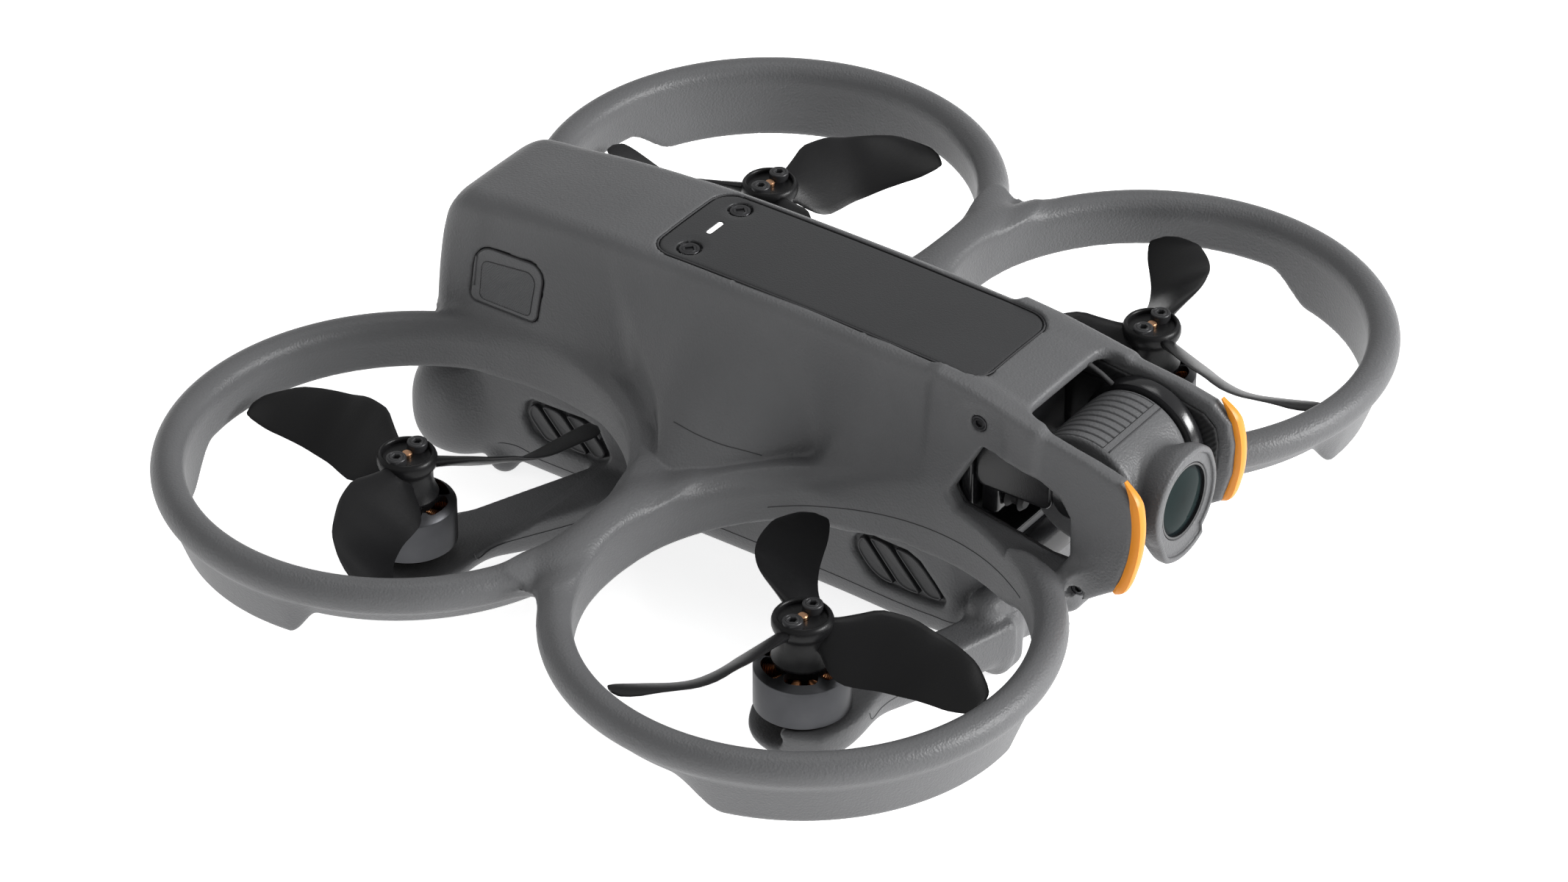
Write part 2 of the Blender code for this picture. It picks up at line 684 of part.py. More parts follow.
def make_board(material):
    board = box((-9.5, -40, 9.0), (9.5, 54, 10.6), "main_board", parts)
    chip = box((-5, -12, 10.0), (5, 2, 12.4), "add_chip", cutters)
    boolean(board, chip, "UNION")
    stack = box((-8.0, 20, 10.0), (8.0, 44, 14.5), "add_power_stage", cutters)
    boolean(board, stack, "UNION")
    return paint(board, material)


# ---------------------------------------------------------------- motors and propellers

def blade(name, angle, spin):
    """One blade: sections along its radius, each a thin lens twisted to its pitch."""
    rings = []
    for radius, low, high, pitch, height, thick in BLADE_SECTIONS:
        tilt = math.radians(pitch)
        chord = (high - low) / math.cos(tilt)
        ring = []
        for share, lift in ((0, 0), (0.25, -0.36), (0.6, -0.3), (1, 0), (0.6, 0.5), (0.25, 0.42)):
            along = low / math.cos(tilt) + chord * share
            up = lift * thick
            across = along * math.cos(tilt) - up * math.sin(tilt)
            ring.append((radius, spin * across, height + along * math.sin(tilt) + up * math.cos(tilt)))
        rings.append(ring)
    piece = loft(rings, name, cutters)
    piece.rotation_euler.z = math.radians(angle)
    return piece


def make_propeller(corner, side, end, material):
    place = Vector((side * MOTOR_X, end * MOTOR_Y, 0))
    neck_z = BELL_Z[1] + GAP
    profile = [
        (SHAFT_R + 0.1, neck_z), (NECK_R, neck_z), (NECK_R, HUB_TOP - HUB_THICK - 1.5),
        (HUB_R, HUB_TOP - HUB_THICK),
        (HUB_R, HUB_TOP - 0.5), (HUB_R - 0.5, HUB_TOP), (SHAFT_R + 0.1, HUB_TOP),
    ]
    name = "propeller_" + corner
    propeller = turned(profile, name, parts, place, steps=16)
    for i in range(3):
        wing = blade("add_blade_%s_%d" % (corner, i), BLADE_ANGLES[end] + 120 * i, SPIN[corner])
        wing.location = place * MM
        boolean(propeller, wing, "UNION")
    for label, across in SIDES:
        hole = cylinder(HUB_SCREW_R + GAP, HUB_TOP - 1.3, HUB_TOP + 3, "cut_hub_screw_%s_%s" % (label, corner),
                        cutters, place + Vector((across * HUB_SCREW_X, 0, 0)), sides=12)
        boolean(propeller, hole)
    return paint(propeller, material)


def make_motor(corner, side, end, bell_material, stator_material, screw_material):
    place = Vector((side * MOTOR_X, end * MOTOR_Y, 0))
    low, high = BELL_Z
    profile = [
        (BELL_R - 0.9, low), (BELL_R, low), (BELL_R, high - 1.4), (BELL_R - 1.2, high), (SHAFT_R, high),
        (SHAFT_R, HUB_TOP + 0.4), (0.3, HUB_TOP + 0.4), (0.3, low + 1.0), (SHAFT_R, low + 1.0),
        (SHAFT_R, high - 1.0), (BELL_R - 1.6, high - 1.0), (BELL_R - 0.9, high - 1.8),
    ]
    bell = turned(profile, "motor_bell_" + corner, parts, place, steps=16)
    paint(bell, bell_material)
    stator_profile = [
        (SHAFT_R + 0.3, PAD_TOP + GAP), (BELL_R - 0.4, PAD_TOP + GAP), (BELL_R - 0.4, low - GAP),
        (BELL_R - 1.6, low), (BELL_R - 1.6, high - 2.4), (SHAFT_R + 0.3, high - 2.4),
    ]
    stator = turned(stator_profile, "stator_" + corner, parts, place, steps=16)
    paint(stator, stator_material)
    for label, across in SIDES:
        screw_head("prop_screw_%s_%s" % (label, corner), HUB_SCREW_R, 0.8,
                   place + Vector((across * HUB_SCREW_X, 0, HUB_TOP - 1.0)), screw_material)


# ---------------------------------------------------------------- battery

def make_battery(material, button_material):
    """Pack that slides in from behind, with its power button in a well in the rear face."""
    low = (-BAY_HALF_X + GAP, BATTERY_Y[0], BAY_Z[0] + GAP)
    high = (BAY_HALF_X - GAP, BATTERY_Y[1], BAY_Z[1] - GAP)
    pack = box(low, high, "battery", parts, bevel=1.9)
    end = BATTERY_Y[1]
    well = cylinder(BUTTON_R + GAP, end - BUTTON_WELL, end + 5, "cut_button_well", cutters, (0, 0, BUTTON_Z),
                    axis="Y")
    boolean(pack, well)
    paint(pack, material)
    bottom = end - BUTTON_WELL + BUTTON_TRAVEL + GAP
    button = cylinder(BUTTON_R, bottom, end + 0.1, "power_button", parts, (0, 0, BUTTON_Z), axis="Y")
    return paint(button, button_material)


# ---------------------------------------------------------------- assembly

clear_scene()
parts = make_collection("fpv_racing_drone")
cutters = make_collection("cutters")

grey_shell = principled("grained_grey_plastic", (0.13, 0.13, 0.135), 0.62)
charcoal = principled("charcoal_plastic", (0.055, 0.057, 0.062), 0.55)
black = principled("black_plastic", (0.02, 0.02, 0.022), 0.5)
orange = principled("orange_trim", (0.95, 0.33, 0.03), 0.45)
blade_black = principled("propeller_black", (0.025, 0.025, 0.027), 0.35)
gunmetal = principled("gunmetal", (0.06, 0.06, 0.065), 0.35, metallic=0.8)
copper = principled("copper_winding", (0.6, 0.27, 0.12), 0.35, metallic=0.9)
steel = principled("black_steel", (0.03, 0.03, 0.032), 0.35, metallic=0.6)
glass = principled("lens_glass", (0.02, 0.045, 0.045), 0.05)
white = principled("light_window", (0.9, 0.9, 0.9), 0.3)
green = principled("board_green", (0.02, 0.12, 0.06), 0.5)

make_hull(grey_shell)
for corner, side, end in CORNERS:
    make_duct(corner, side, end, grey_shell)
    make_arm(corner, side, end, grey_shell)
    make_motor(corner, side, end, gunmetal, copper, steel)
    make_propeller(corner, side, end, blade_black)
for label, side in SIDES:
    make_guard(label, side, grey_shell)
    make_guard_screws(label, side, steel)
    make_strip(label, side, orange)
    make_release_pad(label, side, charcoal)
    make_rear_lobe(label, side, grey_shell)
make_top_plate(charcoal)
make_plate_trim(steel, white)
make_camera(grey_shell, grey_shell, glass)
make_gimbal(black, black)
make_pod(grey_shell)
make_vents(black)
make_board(green)
make_battery(grey_shell, charcoal)
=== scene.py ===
"""Looks of the FPV racing drone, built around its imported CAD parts.

Positions are in millimetres inside this script and are turned into metres when a mesh is made.
Frame: ground at z = 0 under the middle of the four propellers, +Z up, nose towards -Y.
"""

import json
import math

import bmesh
import bpy
import numpy as np
from mathutils import Matrix, Vector


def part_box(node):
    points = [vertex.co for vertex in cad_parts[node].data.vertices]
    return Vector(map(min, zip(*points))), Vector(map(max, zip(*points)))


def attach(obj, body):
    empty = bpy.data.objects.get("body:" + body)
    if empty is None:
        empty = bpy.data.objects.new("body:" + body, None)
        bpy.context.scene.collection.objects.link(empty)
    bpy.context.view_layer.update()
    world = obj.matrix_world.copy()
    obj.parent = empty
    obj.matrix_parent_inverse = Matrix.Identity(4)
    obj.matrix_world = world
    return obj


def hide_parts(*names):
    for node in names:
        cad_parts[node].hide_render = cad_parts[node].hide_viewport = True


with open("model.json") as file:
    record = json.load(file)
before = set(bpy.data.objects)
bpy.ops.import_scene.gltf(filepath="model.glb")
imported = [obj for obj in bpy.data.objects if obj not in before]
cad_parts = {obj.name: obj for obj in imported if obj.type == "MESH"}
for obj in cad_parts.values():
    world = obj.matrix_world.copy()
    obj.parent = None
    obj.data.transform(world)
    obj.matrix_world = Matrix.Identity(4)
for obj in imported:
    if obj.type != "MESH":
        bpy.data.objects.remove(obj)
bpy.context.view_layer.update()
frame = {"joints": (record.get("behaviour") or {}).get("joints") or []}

MM = 0.001
SIDES = (("right", -1), ("left", 1))
CORNERS = (("rear_right", -1, 1), ("front_right", -1, -1), ("rear_left", 1, 1), ("front_left", 1, -1))

# ---------------------------------------------------------------- places read from the frame


def joint_point(name):
    found = next(j for j in frame["joints"] if j["name"] == name)
    return Vector(found["pos_m"]) / MM


def node_box(name):
    low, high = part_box(name)
    return low / MM, high / MM


MOTOR = joint_point("rotor_spin_front_left")
MOTOR_X = MOTOR.x
MOTOR_Y = -MOTOR.y
CAMERA = joint_point("camera_tilt")
RING_TOP = node_box("duct_front_left")[1].z
HUB_TOP = node_box("propeller_front_left")[1].z
PLATE_SCREW = (node_box("plate_screw_left")[0] + node_box("plate_screw_left")[1]) / 2
CAMERA_AXIS = (0.0, CAMERA.y, CAMERA.z)
SEAM_STEP = 0.8
SEAM_R = 0.1

# ---------------------------------------------------------------- mesh helpers


def link(data, name):
    piece = bpy.data.objects.new(name, data)
    bpy.context.scene.collection.objects.link(piece)
    return piece


def shade(piece, angle=None):
    piece.data.shade_smooth()
    if angle is not None:
        piece.data.set_sharp_from_angle(angle=math.radians(angle))
    return piece


def mesh_piece(name, points, faces, angle=35):
    """Object from millimetre points and faces."""
    mesh = bpy.data.meshes.new(name)
    mesh.from_pydata([tuple(c * MM for c in p) for p in points], [], faces)
    mesh.validate()
    mesh.update()
    return shade(link(mesh, name), angle)


def cell_size(full):
    return full


def bm_piece(name, bm, angle=35):
    bmesh.ops.scale(bm, vec=(MM, MM, MM), verts=bm.verts)
    bmesh.ops.recalc_face_normals(bm, faces=bm.faces)
    mesh = bpy.data.meshes.new(name)
    bm.to_mesh(mesh)
    bm.free()
    return shade(link(mesh, name), angle)


def loft(name, rings, closed=False, caps=True, angle=35):
    """Skin over rings of equally many points, with flat ends unless it closes on itself."""
    count = len(rings[0])
    faces = []
    for i in range(len(rings) if closed else len(rings) - 1):
        a = i * count
        b = ((i + 1) % len(rings)) * count
        for j in range(count):
            k = (j + 1) % count
            faces.append((a + j, a + k, b + k, b + j))
    if caps and not closed:
        faces.append(tuple(reversed(range(count))))
        faces.append(tuple((len(rings) - 1) * count + j for j in range(count)))
    piece = mesh_piece(name, [point for ring in rings for point in ring], faces, angle)
    fix_normals(piece)
    return shade(piece, angle)


def fix_normals(piece):
    bm = bmesh.new()
    bm.from_mesh(piece.data)
    bmesh.ops.recalc_face_normals(bm, faces=bm.faces)
    bm.to_mesh(piece.data)
    bm.free()


def turned(name, profile, place=(0, 0, 0), axis="Z", steps=64, angle=35):
    """Closed profile of (radius, height) turned about an axis through place."""
    rings = []
    for i in range(steps):
        a = math.tau * i / steps
        c, s = math.cos(a), math.sin(a)
        ring = [(r * c, r * s, h) for r, h in profile]
        if axis == "X":
            ring = [(h, u, v) for u, v, h in ring]
        if axis == "Y":
            ring = [(v, h, u) for u, v, h in ring]
        rings.append([tuple(p + q for p, q in zip(point, place)) for point in ring])
    return loft(name, rings, closed=True, angle=angle)


def tube(name, path, radius, sides=8):
    """Round thread along a path of points."""
    path = [Vector(p) for p in path]
    rings = []
    side = None
    for i, point in enumerate(path):
        along = (path[min(i + 1, len(path) - 1)] - path[max(i - 1, 0)]).normalized()
        if side is None:
            side = along.orthogonal().normalized()
        side = (side - along * side.dot(along)).normalized()
        up = along.cross(side)
        rings.append([tuple(point + (side * math.cos(a) + up * math.sin(a)) * radius)
                      for a in np.linspace(0, math.tau, sides, endpoint=False)])
    return loft(name, rings, angle=180)


def mirror_x(piece):
    """Turns a finished mesh into its mirror image across the middle plane."""
    mesh = piece.data
    co = np.empty(len(mesh.vertices) * 3, np.float32)
    mesh.vertices.foreach_get("co", co)
    co[0::3] *= -1
    mesh.vertices.foreach_set("co", co)
    mesh.flip_normals()
    mesh.update()
    return piece


def apply_modifiers(piece):
    evaluated = piece.evaluated_get(bpy.context.evaluated_depsgraph_get())
    mesh = bpy.data.meshes.new_from_object(evaluated)
    piece.modifiers.clear()
    piece.data = mesh
    return piece


def combine(piece, operation, others):
    """Boolean with other pieces, applied; those are removed."""
    for other in others:
        step = piece.modifiers.new("combine", "BOOLEAN")
        step.operation = operation
        step.solver = "EXACT"
        step.object = other
    apply_modifiers(piece)
    for other in others:
        bpy.data.objects.remove(other, do_unlink=True)
    return piece


def bevel(piece, width, segments=3, angle=40):
    step = piece.modifiers.new("bevel", "BEVEL")
    step.width = width * MM
    step.segments = segments
    step.limit_method = "ANGLE"
    step.angle_limit = math.radians(angle)
    apply_modifiers(piece)
    return piece


def dress(piece, material, body="airframe", replaces=(), at=None):
    """Material, body, replaced CAD nodes and place of one finished piece."""
    if at is not None:
        piece.location = at
    piece.data.materials.clear()
    piece.data.materials.append(material)
    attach(piece, body)
    if replaces:
        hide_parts(*replaces)
    return piece


# ---------------------------------------------------------------- outlines


def arc(middle, radius, start, stop, count):
    """Points of an arc about a middle, from one angle to another in degrees."""
    return [(middle[0] + radius * math.cos(a), middle[1] + radius * math.sin(a))
            for a in np.radians(np.linspace(start, stop, count))]


def rounded(corners, steps=6):
    """Closed outline through corners given as (u, v, radius)."""
    line = []
    for i, (u, v, radius) in enumerate(corners):
        here = Vector((u, v))
        back = (Vector(corners[i - 1][:2]) - here).normalized()
        ahead = (Vector(corners[(i + 1) % len(corners)][:2]) - here).normalized()
        half = back.angle(ahead) / 2
        middle = here + (back + ahead).normalized() * radius / math.sin(half)
        first = here + back * radius / math.tan(half) - middle
        last = here + ahead * radius / math.tan(half) - middle
        start, stop = (math.degrees(math.atan2(spoke.y, spoke.x)) for spoke in (first, last))
        turn = (stop - start + 180) % 360 - 180
        line += arc(middle, radius, start, start + turn, steps + 1)
    return line


def squircle(count, power):
    """Ring of points between a unit circle, at power 0, and a square, at power 1."""
    return [(c / max(abs(c), abs(s)) ** power, s / max(abs(c), abs(s)) ** power)
            for c, s in arc((0, 0), 1, 0, 360, count + 1)[:-1]]


def inset(outline, distance):
    """Outline moved inwards; it may run either way round."""
    count = len(outline)
    area = sum(outline[i - 1][0] * outline[i][1] - outline[i][0] * outline[i - 1][1] for i in range(count))
    turn = math.copysign(distance, area)
    moved = []
    for i in range(count):
        along = Vector(outline[(i + 1) % count]) - Vector(outline[i - 1])
        along = along.normalized()
        moved.append((outline[i][0] - along.y * turn, outline[i][1] + along.x * turn))
    return moved


def clipped(outline, a, b, c):
    """Part of a convex outline where a*u + b*v <= c."""
    kept = []
    for i, here in enumerate(outline):
        before = outline[i - 1]
        here_out = a * here[0] + b * here[1] - c
        before_out = a * before[0] + b * before[1] - c
        if (here_out <= 0) != (before_out <= 0):
            t = before_out / (before_out - here_out)
            kept.append((before[0] + (here[0] - before[0]) * t, before[1] + (here[1] - before[1]) * t))
        if here_out <= 0:
            kept.append(here)
    return kept


def split(outline, step):
    """The same outline with no span longer than step."""
    line = []
    for i, here in enumerate(outline):
        before = outline[i - 1]
        du, dv = here[0] - before[0], here[1] - before[1]
        count = max(1, int(math.hypot(du, dv) / step))
        line += [(before[0] + du * n / count, before[1] + dv * n / count) for n in range(count)]
    return line


def eased(outline):
    """The same outline with its corners softened."""
    for _ in range(2):
        ahead = outline[1:] + outline[:1]
        outline = [tuple((a + 2 * b + c) / 4 for a, b, c in zip(outline[i - 1], here, ahead[i]))
                   for i, here in enumerate(outline)]
    return outline


# ---------------------------------------------------------------- distance fields


def smooth_min(a, b, k):
    h = np.clip(0.5 + 0.5 * (b - a) / k, 0, 1)
    return b + (a - b) * h - k * h * (1 - h)


def smooth_max(a, b, k):
    return -smooth_min(-a, -b, k)


def smooth_step(value, low, high):
    t = np.clip((value - low) / (high - low), 0, 1)
    return t * t * (3 - 2 * t)


def curve_through(points, value):
    """Smooth reading of a short list of (position, value) pairs."""
    xs, ys = (np.array(column, float) for column in zip(*points))
    slopes = np.gradient(ys, xs)
    value = np.clip(value, xs[0], xs[-1])
    i = np.clip(np.searchsorted(xs, value) - 1, 0, len(xs) - 2)
    h = xs[i + 1] - xs[i]
    t = (value - xs[i]) / h
    return ((2 * t ** 3 - 3 * t ** 2 + 1) * ys[i] + (t ** 3 - 2 * t ** 2 + t) * h * slopes[i]
            + (3 * t ** 2 - 2 * t ** 3) * ys[i + 1] + (t ** 3 - t ** 2) * h * slopes[i + 1])


def resampled(points, count=None):
    """Even steps on a smooth curve through a few points, and how far along it each one is."""
    line = np.array(points, float)
    spans = np.r_[0, np.cumsum(np.sqrt((np.diff(line, axis=0) ** 2).sum(1)))]
    at = np.linspace(0, spans[-1], count or max(8, int(spans[-1] / SEAM_STEP)))
    return np.stack([curve_through(tuple(zip(spans, column)), at) for column in line.T], 1), at


def box_field(x, y, z, low, high, rounding=0.0):
    middle = [(a + b) / 2 for a, b in zip(low, high)]
    half = [(b - a) / 2 - rounding for a, b in zip(low, high)]
    qx, qy, qz = (np.abs(c - m) - h for c, m, h in zip((x, y, z), middle, half))
    outside = np.sqrt(np.maximum(qx, 0) ** 2 + np.maximum(qy, 0) ** 2 + np.maximum(qz, 0) ** 2)
    return outside + np.minimum(np.maximum(qx, np.maximum(qy, qz)), 0) - rounding


def polygon_field(u, v, points, rounding=0.0):
    """Signed distance to a closed polygon, negative inside, its corners rounded."""
    best = np.full(np.shape(u), 1e9, np.float32)
    sign = np.ones(np.shape(u), np.float32)
    count = len(points)
    for i in range(count):
        ax, ay = points[i]
        bx, by = points[i - 1]
        ex, ey = bx - ax, by - ay
        wx, wy = u - ax, v - ay
        t = np.clip((wx * ex + wy * ey) / (ex * ex + ey * ey), 0, 1)
        best = np.minimum(best, (wx - ex * t) ** 2 + (wy - ey * t) ** 2)
        above = v >= ay
        below = v < by
        left = ex * wy > ey * wx
        flip = (above & below & left) | (~above & ~below & ~left)
        sign = np.where(flip, -sign, sign)
    return sign * np.sqrt(best) - rounding


def field_mesh(name, field, low, high, step, mirror=True, polish=2):
    """Surface of a distance field: one vertex per crossed cell, drawn on to the surface, quads between."""
    counts = [int(math.ceil((b - a) / step)) + 1 for a, b in zip(low, high)]
    axes = [a + step * np.arange(n, dtype=np.float32) for a, n in zip(low, counts)]
    if mirror:
        axes[0] = (0.5 + np.arange(int(math.ceil(high[0] / step)) + 1, dtype=np.float32)) * step
    grid = np.empty([len(a) for a in axes], np.float32)
    for k in range(0, len(axes[2]), 8):
        slab = np.meshgrid(axes[0], axes[1], axes[2][k:k + 8], indexing="ij")
        grid[:, :, k:k + 8] = field(*slab)
    if mirror:
        grid = np.concatenate([grid[::-1], grid])
        axes[0] = np.concatenate([-axes[0][::-1], axes[0]])
    origin = np.array([a[0] for a in axes])
    inside = grid < 0
    corners = [(i, j, k) for i in (0, 1) for j in (0, 1) for k in (0, 1)]
    shape = [n - 1 for n in grid.shape]
    total = np.zeros(shape, np.uint8)
    for i, j, k in corners:
        total += inside[i:i + shape[0], j:j + shape[1], k:k + shape[2]]
    active = (total > 0) & (total < 8)
    cells = np.argwhere(active)
    index = np.full(shape, -1, np.int64)
    index[active] = np.arange(len(cells))
    values = {c: grid[cells[:, 0] + c[0], cells[:, 1] + c[1], cells[:, 2] + c[2]] for c in corners}
    where = np.zeros((len(cells), 3))
    hits = np.zeros(len(cells))
    for c in corners:
        for axis in range(3):
            if c[axis]:
                continue
            d = tuple(1 if n == axis else c[n] for n in range(3))
            va, vb = values[c], values[d]
            crossed = (va < 0) != (vb < 0)
            t = np.where(crossed, va / np.where(crossed, va - vb, 1), 0)
            for n in range(3):
                where[:, n] += np.where(crossed, c[n] + (t if n == axis else 0), 0)
            hits += crossed
    points = origin + (cells + where / hits[:, None]) * step
    quads = []
    for axis in range(3):
        u, v = [n for n in range(3) if n != axis]
        head = [slice(None)] * 3
        head[axis] = slice(0, -1)
        tail = [slice(None)] * 3
        tail[axis] = slice(1, None)
        for u_range in (head, tail):
            u_range[u] = slice(1, -1)
            u_range[v] = slice(1, -1)
        start, stop = inside[tuple(head)], inside[tuple(tail)]
        edges = np.argwhere(start != stop)
        going_in = start[tuple(edges.T)]
        base = edges.copy()
        base[:, u] += 1
        base[:, v] += 1
        ring = []
        for du, dv in ((-1, -1), (0, -1), (0, 0), (-1, 0)):
            cell = base.copy()
            cell[:, u] += du
            cell[:, v] += dv
            ring.append(index[tuple(cell.T)])
        quad = np.stack(ring, 1)
        flip = going_in if axis != 1 else ~going_in
        quad[~flip] = quad[~flip][:, ::-1]
        quads.append(quad)
    quads = np.concatenate(quads)
    points = draw_to_surface(points, field, mirror, step, polish)
    mesh = bpy.data.meshes.new(name)
    mesh.vertices.add(len(points))
    mesh.vertices.foreach_set("co", (points * MM).astype(np.float32).ravel())
    mesh.loops.add(quads.size)
    mesh.loops.foreach_set("vertex_index", quads.astype(np.int32).ravel())
    mesh.polygons.add(len(quads))
    mesh.polygons.foreach_set("loop_start", np.arange(0, quads.size, 4, dtype=np.int32))
    mesh.update(calc_edges=True)
    mesh.validate()
    return shade(link(mesh, name))


def draw_to_surface(points, field, mirror, step, rounds):
    """Newton steps along the field's gradient, no longer than half a cell."""
    def read(p):
        x = np.abs(p[:, 0]) if mirror else p[:, 0]
        return field(x, p[:, 1], p[:, 2])

    eps = 0.05
    for _ in range(rounds):
        value = read(points)
        gradient = np.zeros_like(points)
        for n in range(3):
            nudge = np.zeros(3)
            nudge[n] = eps
            gradient[:, n] = (read(points + nudge) - read(points - nudge)) / (2 * eps)
        size = np.maximum((gradient ** 2).sum(1), 0.2)
        move = -gradient * (value / size)[:, None]
        reach = np.sqrt((move ** 2).sum(1))[:, None]
        points = points + move * np.minimum(1, 0.5 * step / np.maximum(reach, 1e-9))
    return points


# ---------------------------------------------------------------- upper shell

TUBE_R = 3.33
DUCT_R = 40.91
TUBE_MID = DUCT_R + TUBE_R
TUBE_Z = RING_TOP - TUBE_R
SHALLOW_Z = 26.0
DEEP_Z = 20.2
EDGE_R = DUCT_R + 1.5
WALL_TOP = (TUBE_MID + 2.2, TUBE_Z - 1.25)
SKIRTS = {-1: ((-103.0, -93.0), (-16.0, -2.0)), 1: ((-15.5, -7.0), (64.0, 79.0))}
SCOOP_R = TUBE_MID + 2.4

TOP_LINE = ((-66.0, 58.9), (-52.0, 61.9), (-30.0, 63.2), (0.0, 63.95), (22.0, 63.95), (45.0, 62.8),
            (67.0, 60.7))
CROWN = 0.0016
SHOULDER = ((-66.0, 15.9), (-50.0, 15.4), (-20.0, 15.2), (20.0, 14.9), (45.0, 14.7), (67.0, 13.8))
FLARE = ((-26.0, 0.0), (-18.0, 1.2), (-11.0, 9.5), (-4.0, 17.0), (2.0, 19.5), (8.0, 17.0), (15.0, 10.0),
         (22.0, 4.0), (30.0, 0.0))
FLARE_TOP = 62.0
REAR_LINE = ((26.0, 72.0), (38.0, 72.0), (45.0, 71.7), (52.0, 70.9), (57.0, 69.6), (60.0, 68.2), (64.0, 66.0))
HULL_BOTTOM = 26.0
WEB_TOP = 35.6
WEB_X = 46.0
WEB_Y = 26.0
BATTERY_BAY = ((-12.0, -28.0, 29.8), (12.0, 90.0, 57.6))
CAMERA_BAY_REAR = -46.5
CAMERA_BAY_FLOOR = 28.5
BELLY_HALF = 14.0
BELLY_TOP = 40
BELLY_REAR = -57
MOUTH = ((-13.2, -110, 20), (13.2, -61.8, 90))

GUARD_MID_X = 16.0
GUARD_LEAN = -0.075
GUARD_SPLAY = -0.035
GUARD_HALF = 1.6
GUARD_OUTLINE = (
    (-44.0, 27.5), (-44.0, 62.2), (-52.0, 61.2), (-65.2, 58.6), (-78.0, 56.6), (-84.6, 54.9),
    (-88.2, 51.4), (-89.0, 46.8), (-88.4, 40.0), (-86.2, 33.0), (-79.5, 28.4), (-62.0, 27.2),
)
GUARD_WINDOW = (
    (-49.2, 39.2), (-55.0, 50.2), (-59.0, 50.0), (-66.0, 48.9), (-71.9, 46.6), (-74.2, 43.6),
    (-74.7, 36.4), (-73.6, 34.2), (-70.0, 34.0), (-59.8, 35.6), (-50.8, 36.9),
)
GUARD_SCREWS = (("upper", -53.6, 55.1), ("lower", -77.5, 29.9))

PLATE_LOW, PLATE_HIGH = node_box("top_plate")
PLATE_MID_Y = (PLATE_LOW.y + PLATE_HIGH.y) / 2
PLATE_HALF = (PLATE_HIGH.x, (PLATE_HIGH.y - PLATE_LOW.y) / 2)
PLATE_CORNER = 4.5
PLATE_GAP = 0.3

PAD_CORNERS = (
    # along, up, corner radius
    (61.2, 51.5, 4.5), (44.6, 52.4, 3.0), (46.2, 39.9, 2.0), (62.7, 39.3, 1.4),
)
PATCH_CORNERS = ((59.8, 48.6, 1.8), (46.6, 50.3, 2.0), (47.9, 40.8, 1.2), (60.2, 40.4, 1.0))
PAD_RIM = ((0.05, -0.4), (0.05, -0.22), (0.14, -0.06), (0.32, 0.04), (0.6, 0.06), (0.9, 0.02))
PAD_DEPTH = 1.8
PAD_BOX = ((8, 41, 35), (22, 67, 57))


def only_where(mask, shell, change, x, y, z):
    """Applies a change of the field to the masked points alone."""
    if not np.any(mask):
        return shell
    shell = shell.copy()
    shell[mask] = change(shell[mask], x[mask], y[mask], z[mask])
    return shell


def skirt_edge(angle, end):
    rise, fall = SKIRTS[end]
    share = smooth_step(angle, *rise) * (1 - smooth_step(angle, *fall))
    return SHALLOW_Z + (DEEP_Z - SHALLOW_Z) * share


def duct_field(x, y, z, end):
    dx, dy = x - MOTOR_X, y - end * MOTOR_Y
    r = np.hypot(dx, dy)
    edge = skirt_edge(np.degrees(np.arctan2(dy, dx)), end)
    tube = np.hypot(r - TUBE_MID, z - TUBE_Z) - TUBE_R
    run = WALL_TOP[0] - EDGE_R
    rise = WALL_TOP[1] - edge
    length = np.hypot(run, rise)
    outer = ((r - EDGE_R) * rise - (z - edge) * run) / length
    wall = smooth_max(smooth_max(DUCT_R - r, outer, 0.6), edge - z, 1.0)
    return smooth_min(tube, np.maximum(wall, z - TUBE_Z), 0.6), r


def top_height(x, y):
    return curve_through(TOP_LINE, y) - CROWN * x * x


def flank_x(y, z):
    """Half width of the hull's plain flank, which leans outwards below."""
    return curve_through(SHOULDER, y) + 2.6 * np.clip((60.0 - z) / 28.0, 0, 1.2)


def on_flank(outline, side, lift):
    """Outline seen from the side, laid on the flank or a little above it."""
    return [(side * (float(flank_x(y, z)) + lift), y, z) for y, z in outline]


def fuselage_field(x, y, z, r_front, r_rear):
    """Hull without the nose: flank, flare between the ducts, scoop behind the flare, lid and rounded rear."""
    plain = flank_x(y, z)
    drop = np.clip((FLARE_TOP - z) / (FLARE_TOP - RING_TOP), 0, 1.4)
    flare = curve_through(FLARE, y)
    steep = np.sqrt(1 + (flare * 1.6 * drop ** 0.6 / 25.5) ** 2)
    flared = (x - plain - flare * drop ** 1.6) / steep
    flared = smooth_max(flared, SCOOP_R - r_rear, 0.6)
    flared = smooth_max(flared, TUBE_MID - r_front, 1.5)
    side = smooth_min(x - plain, flared, 1.2)
    shoulder = 3.6 + 0.8 * smooth_step(y, 30, 62)
    body = smooth_max(side, z - top_height(x, y), shoulder)
    rear = y - curve_through(REAR_LINE, z)
    return smooth_max(smooth_max(body, rear, 4.6), -66.0 - y, 1.0)


def plate_outline(x, y, grow):
    """Distance to the deck plate's outline, seen from above."""
    qx = np.abs(x) - (PLATE_HALF[0] + grow - PLATE_CORNER)
    qy = np.abs(y - PLATE_MID_Y) - (PLATE_HALF[1] + grow - PLATE_CORNER)
    outside = np.hypot(np.maximum(qx, 0), np.maximum(qy, 0))
    return outside + np.minimum(np.maximum(qx, qy), 0) - PLATE_CORNER


def guard_middle(y, z):
    return GUARD_MID_X + GUARD_LEAN * (z - 45) + GUARD_SPLAY * (y + 68)


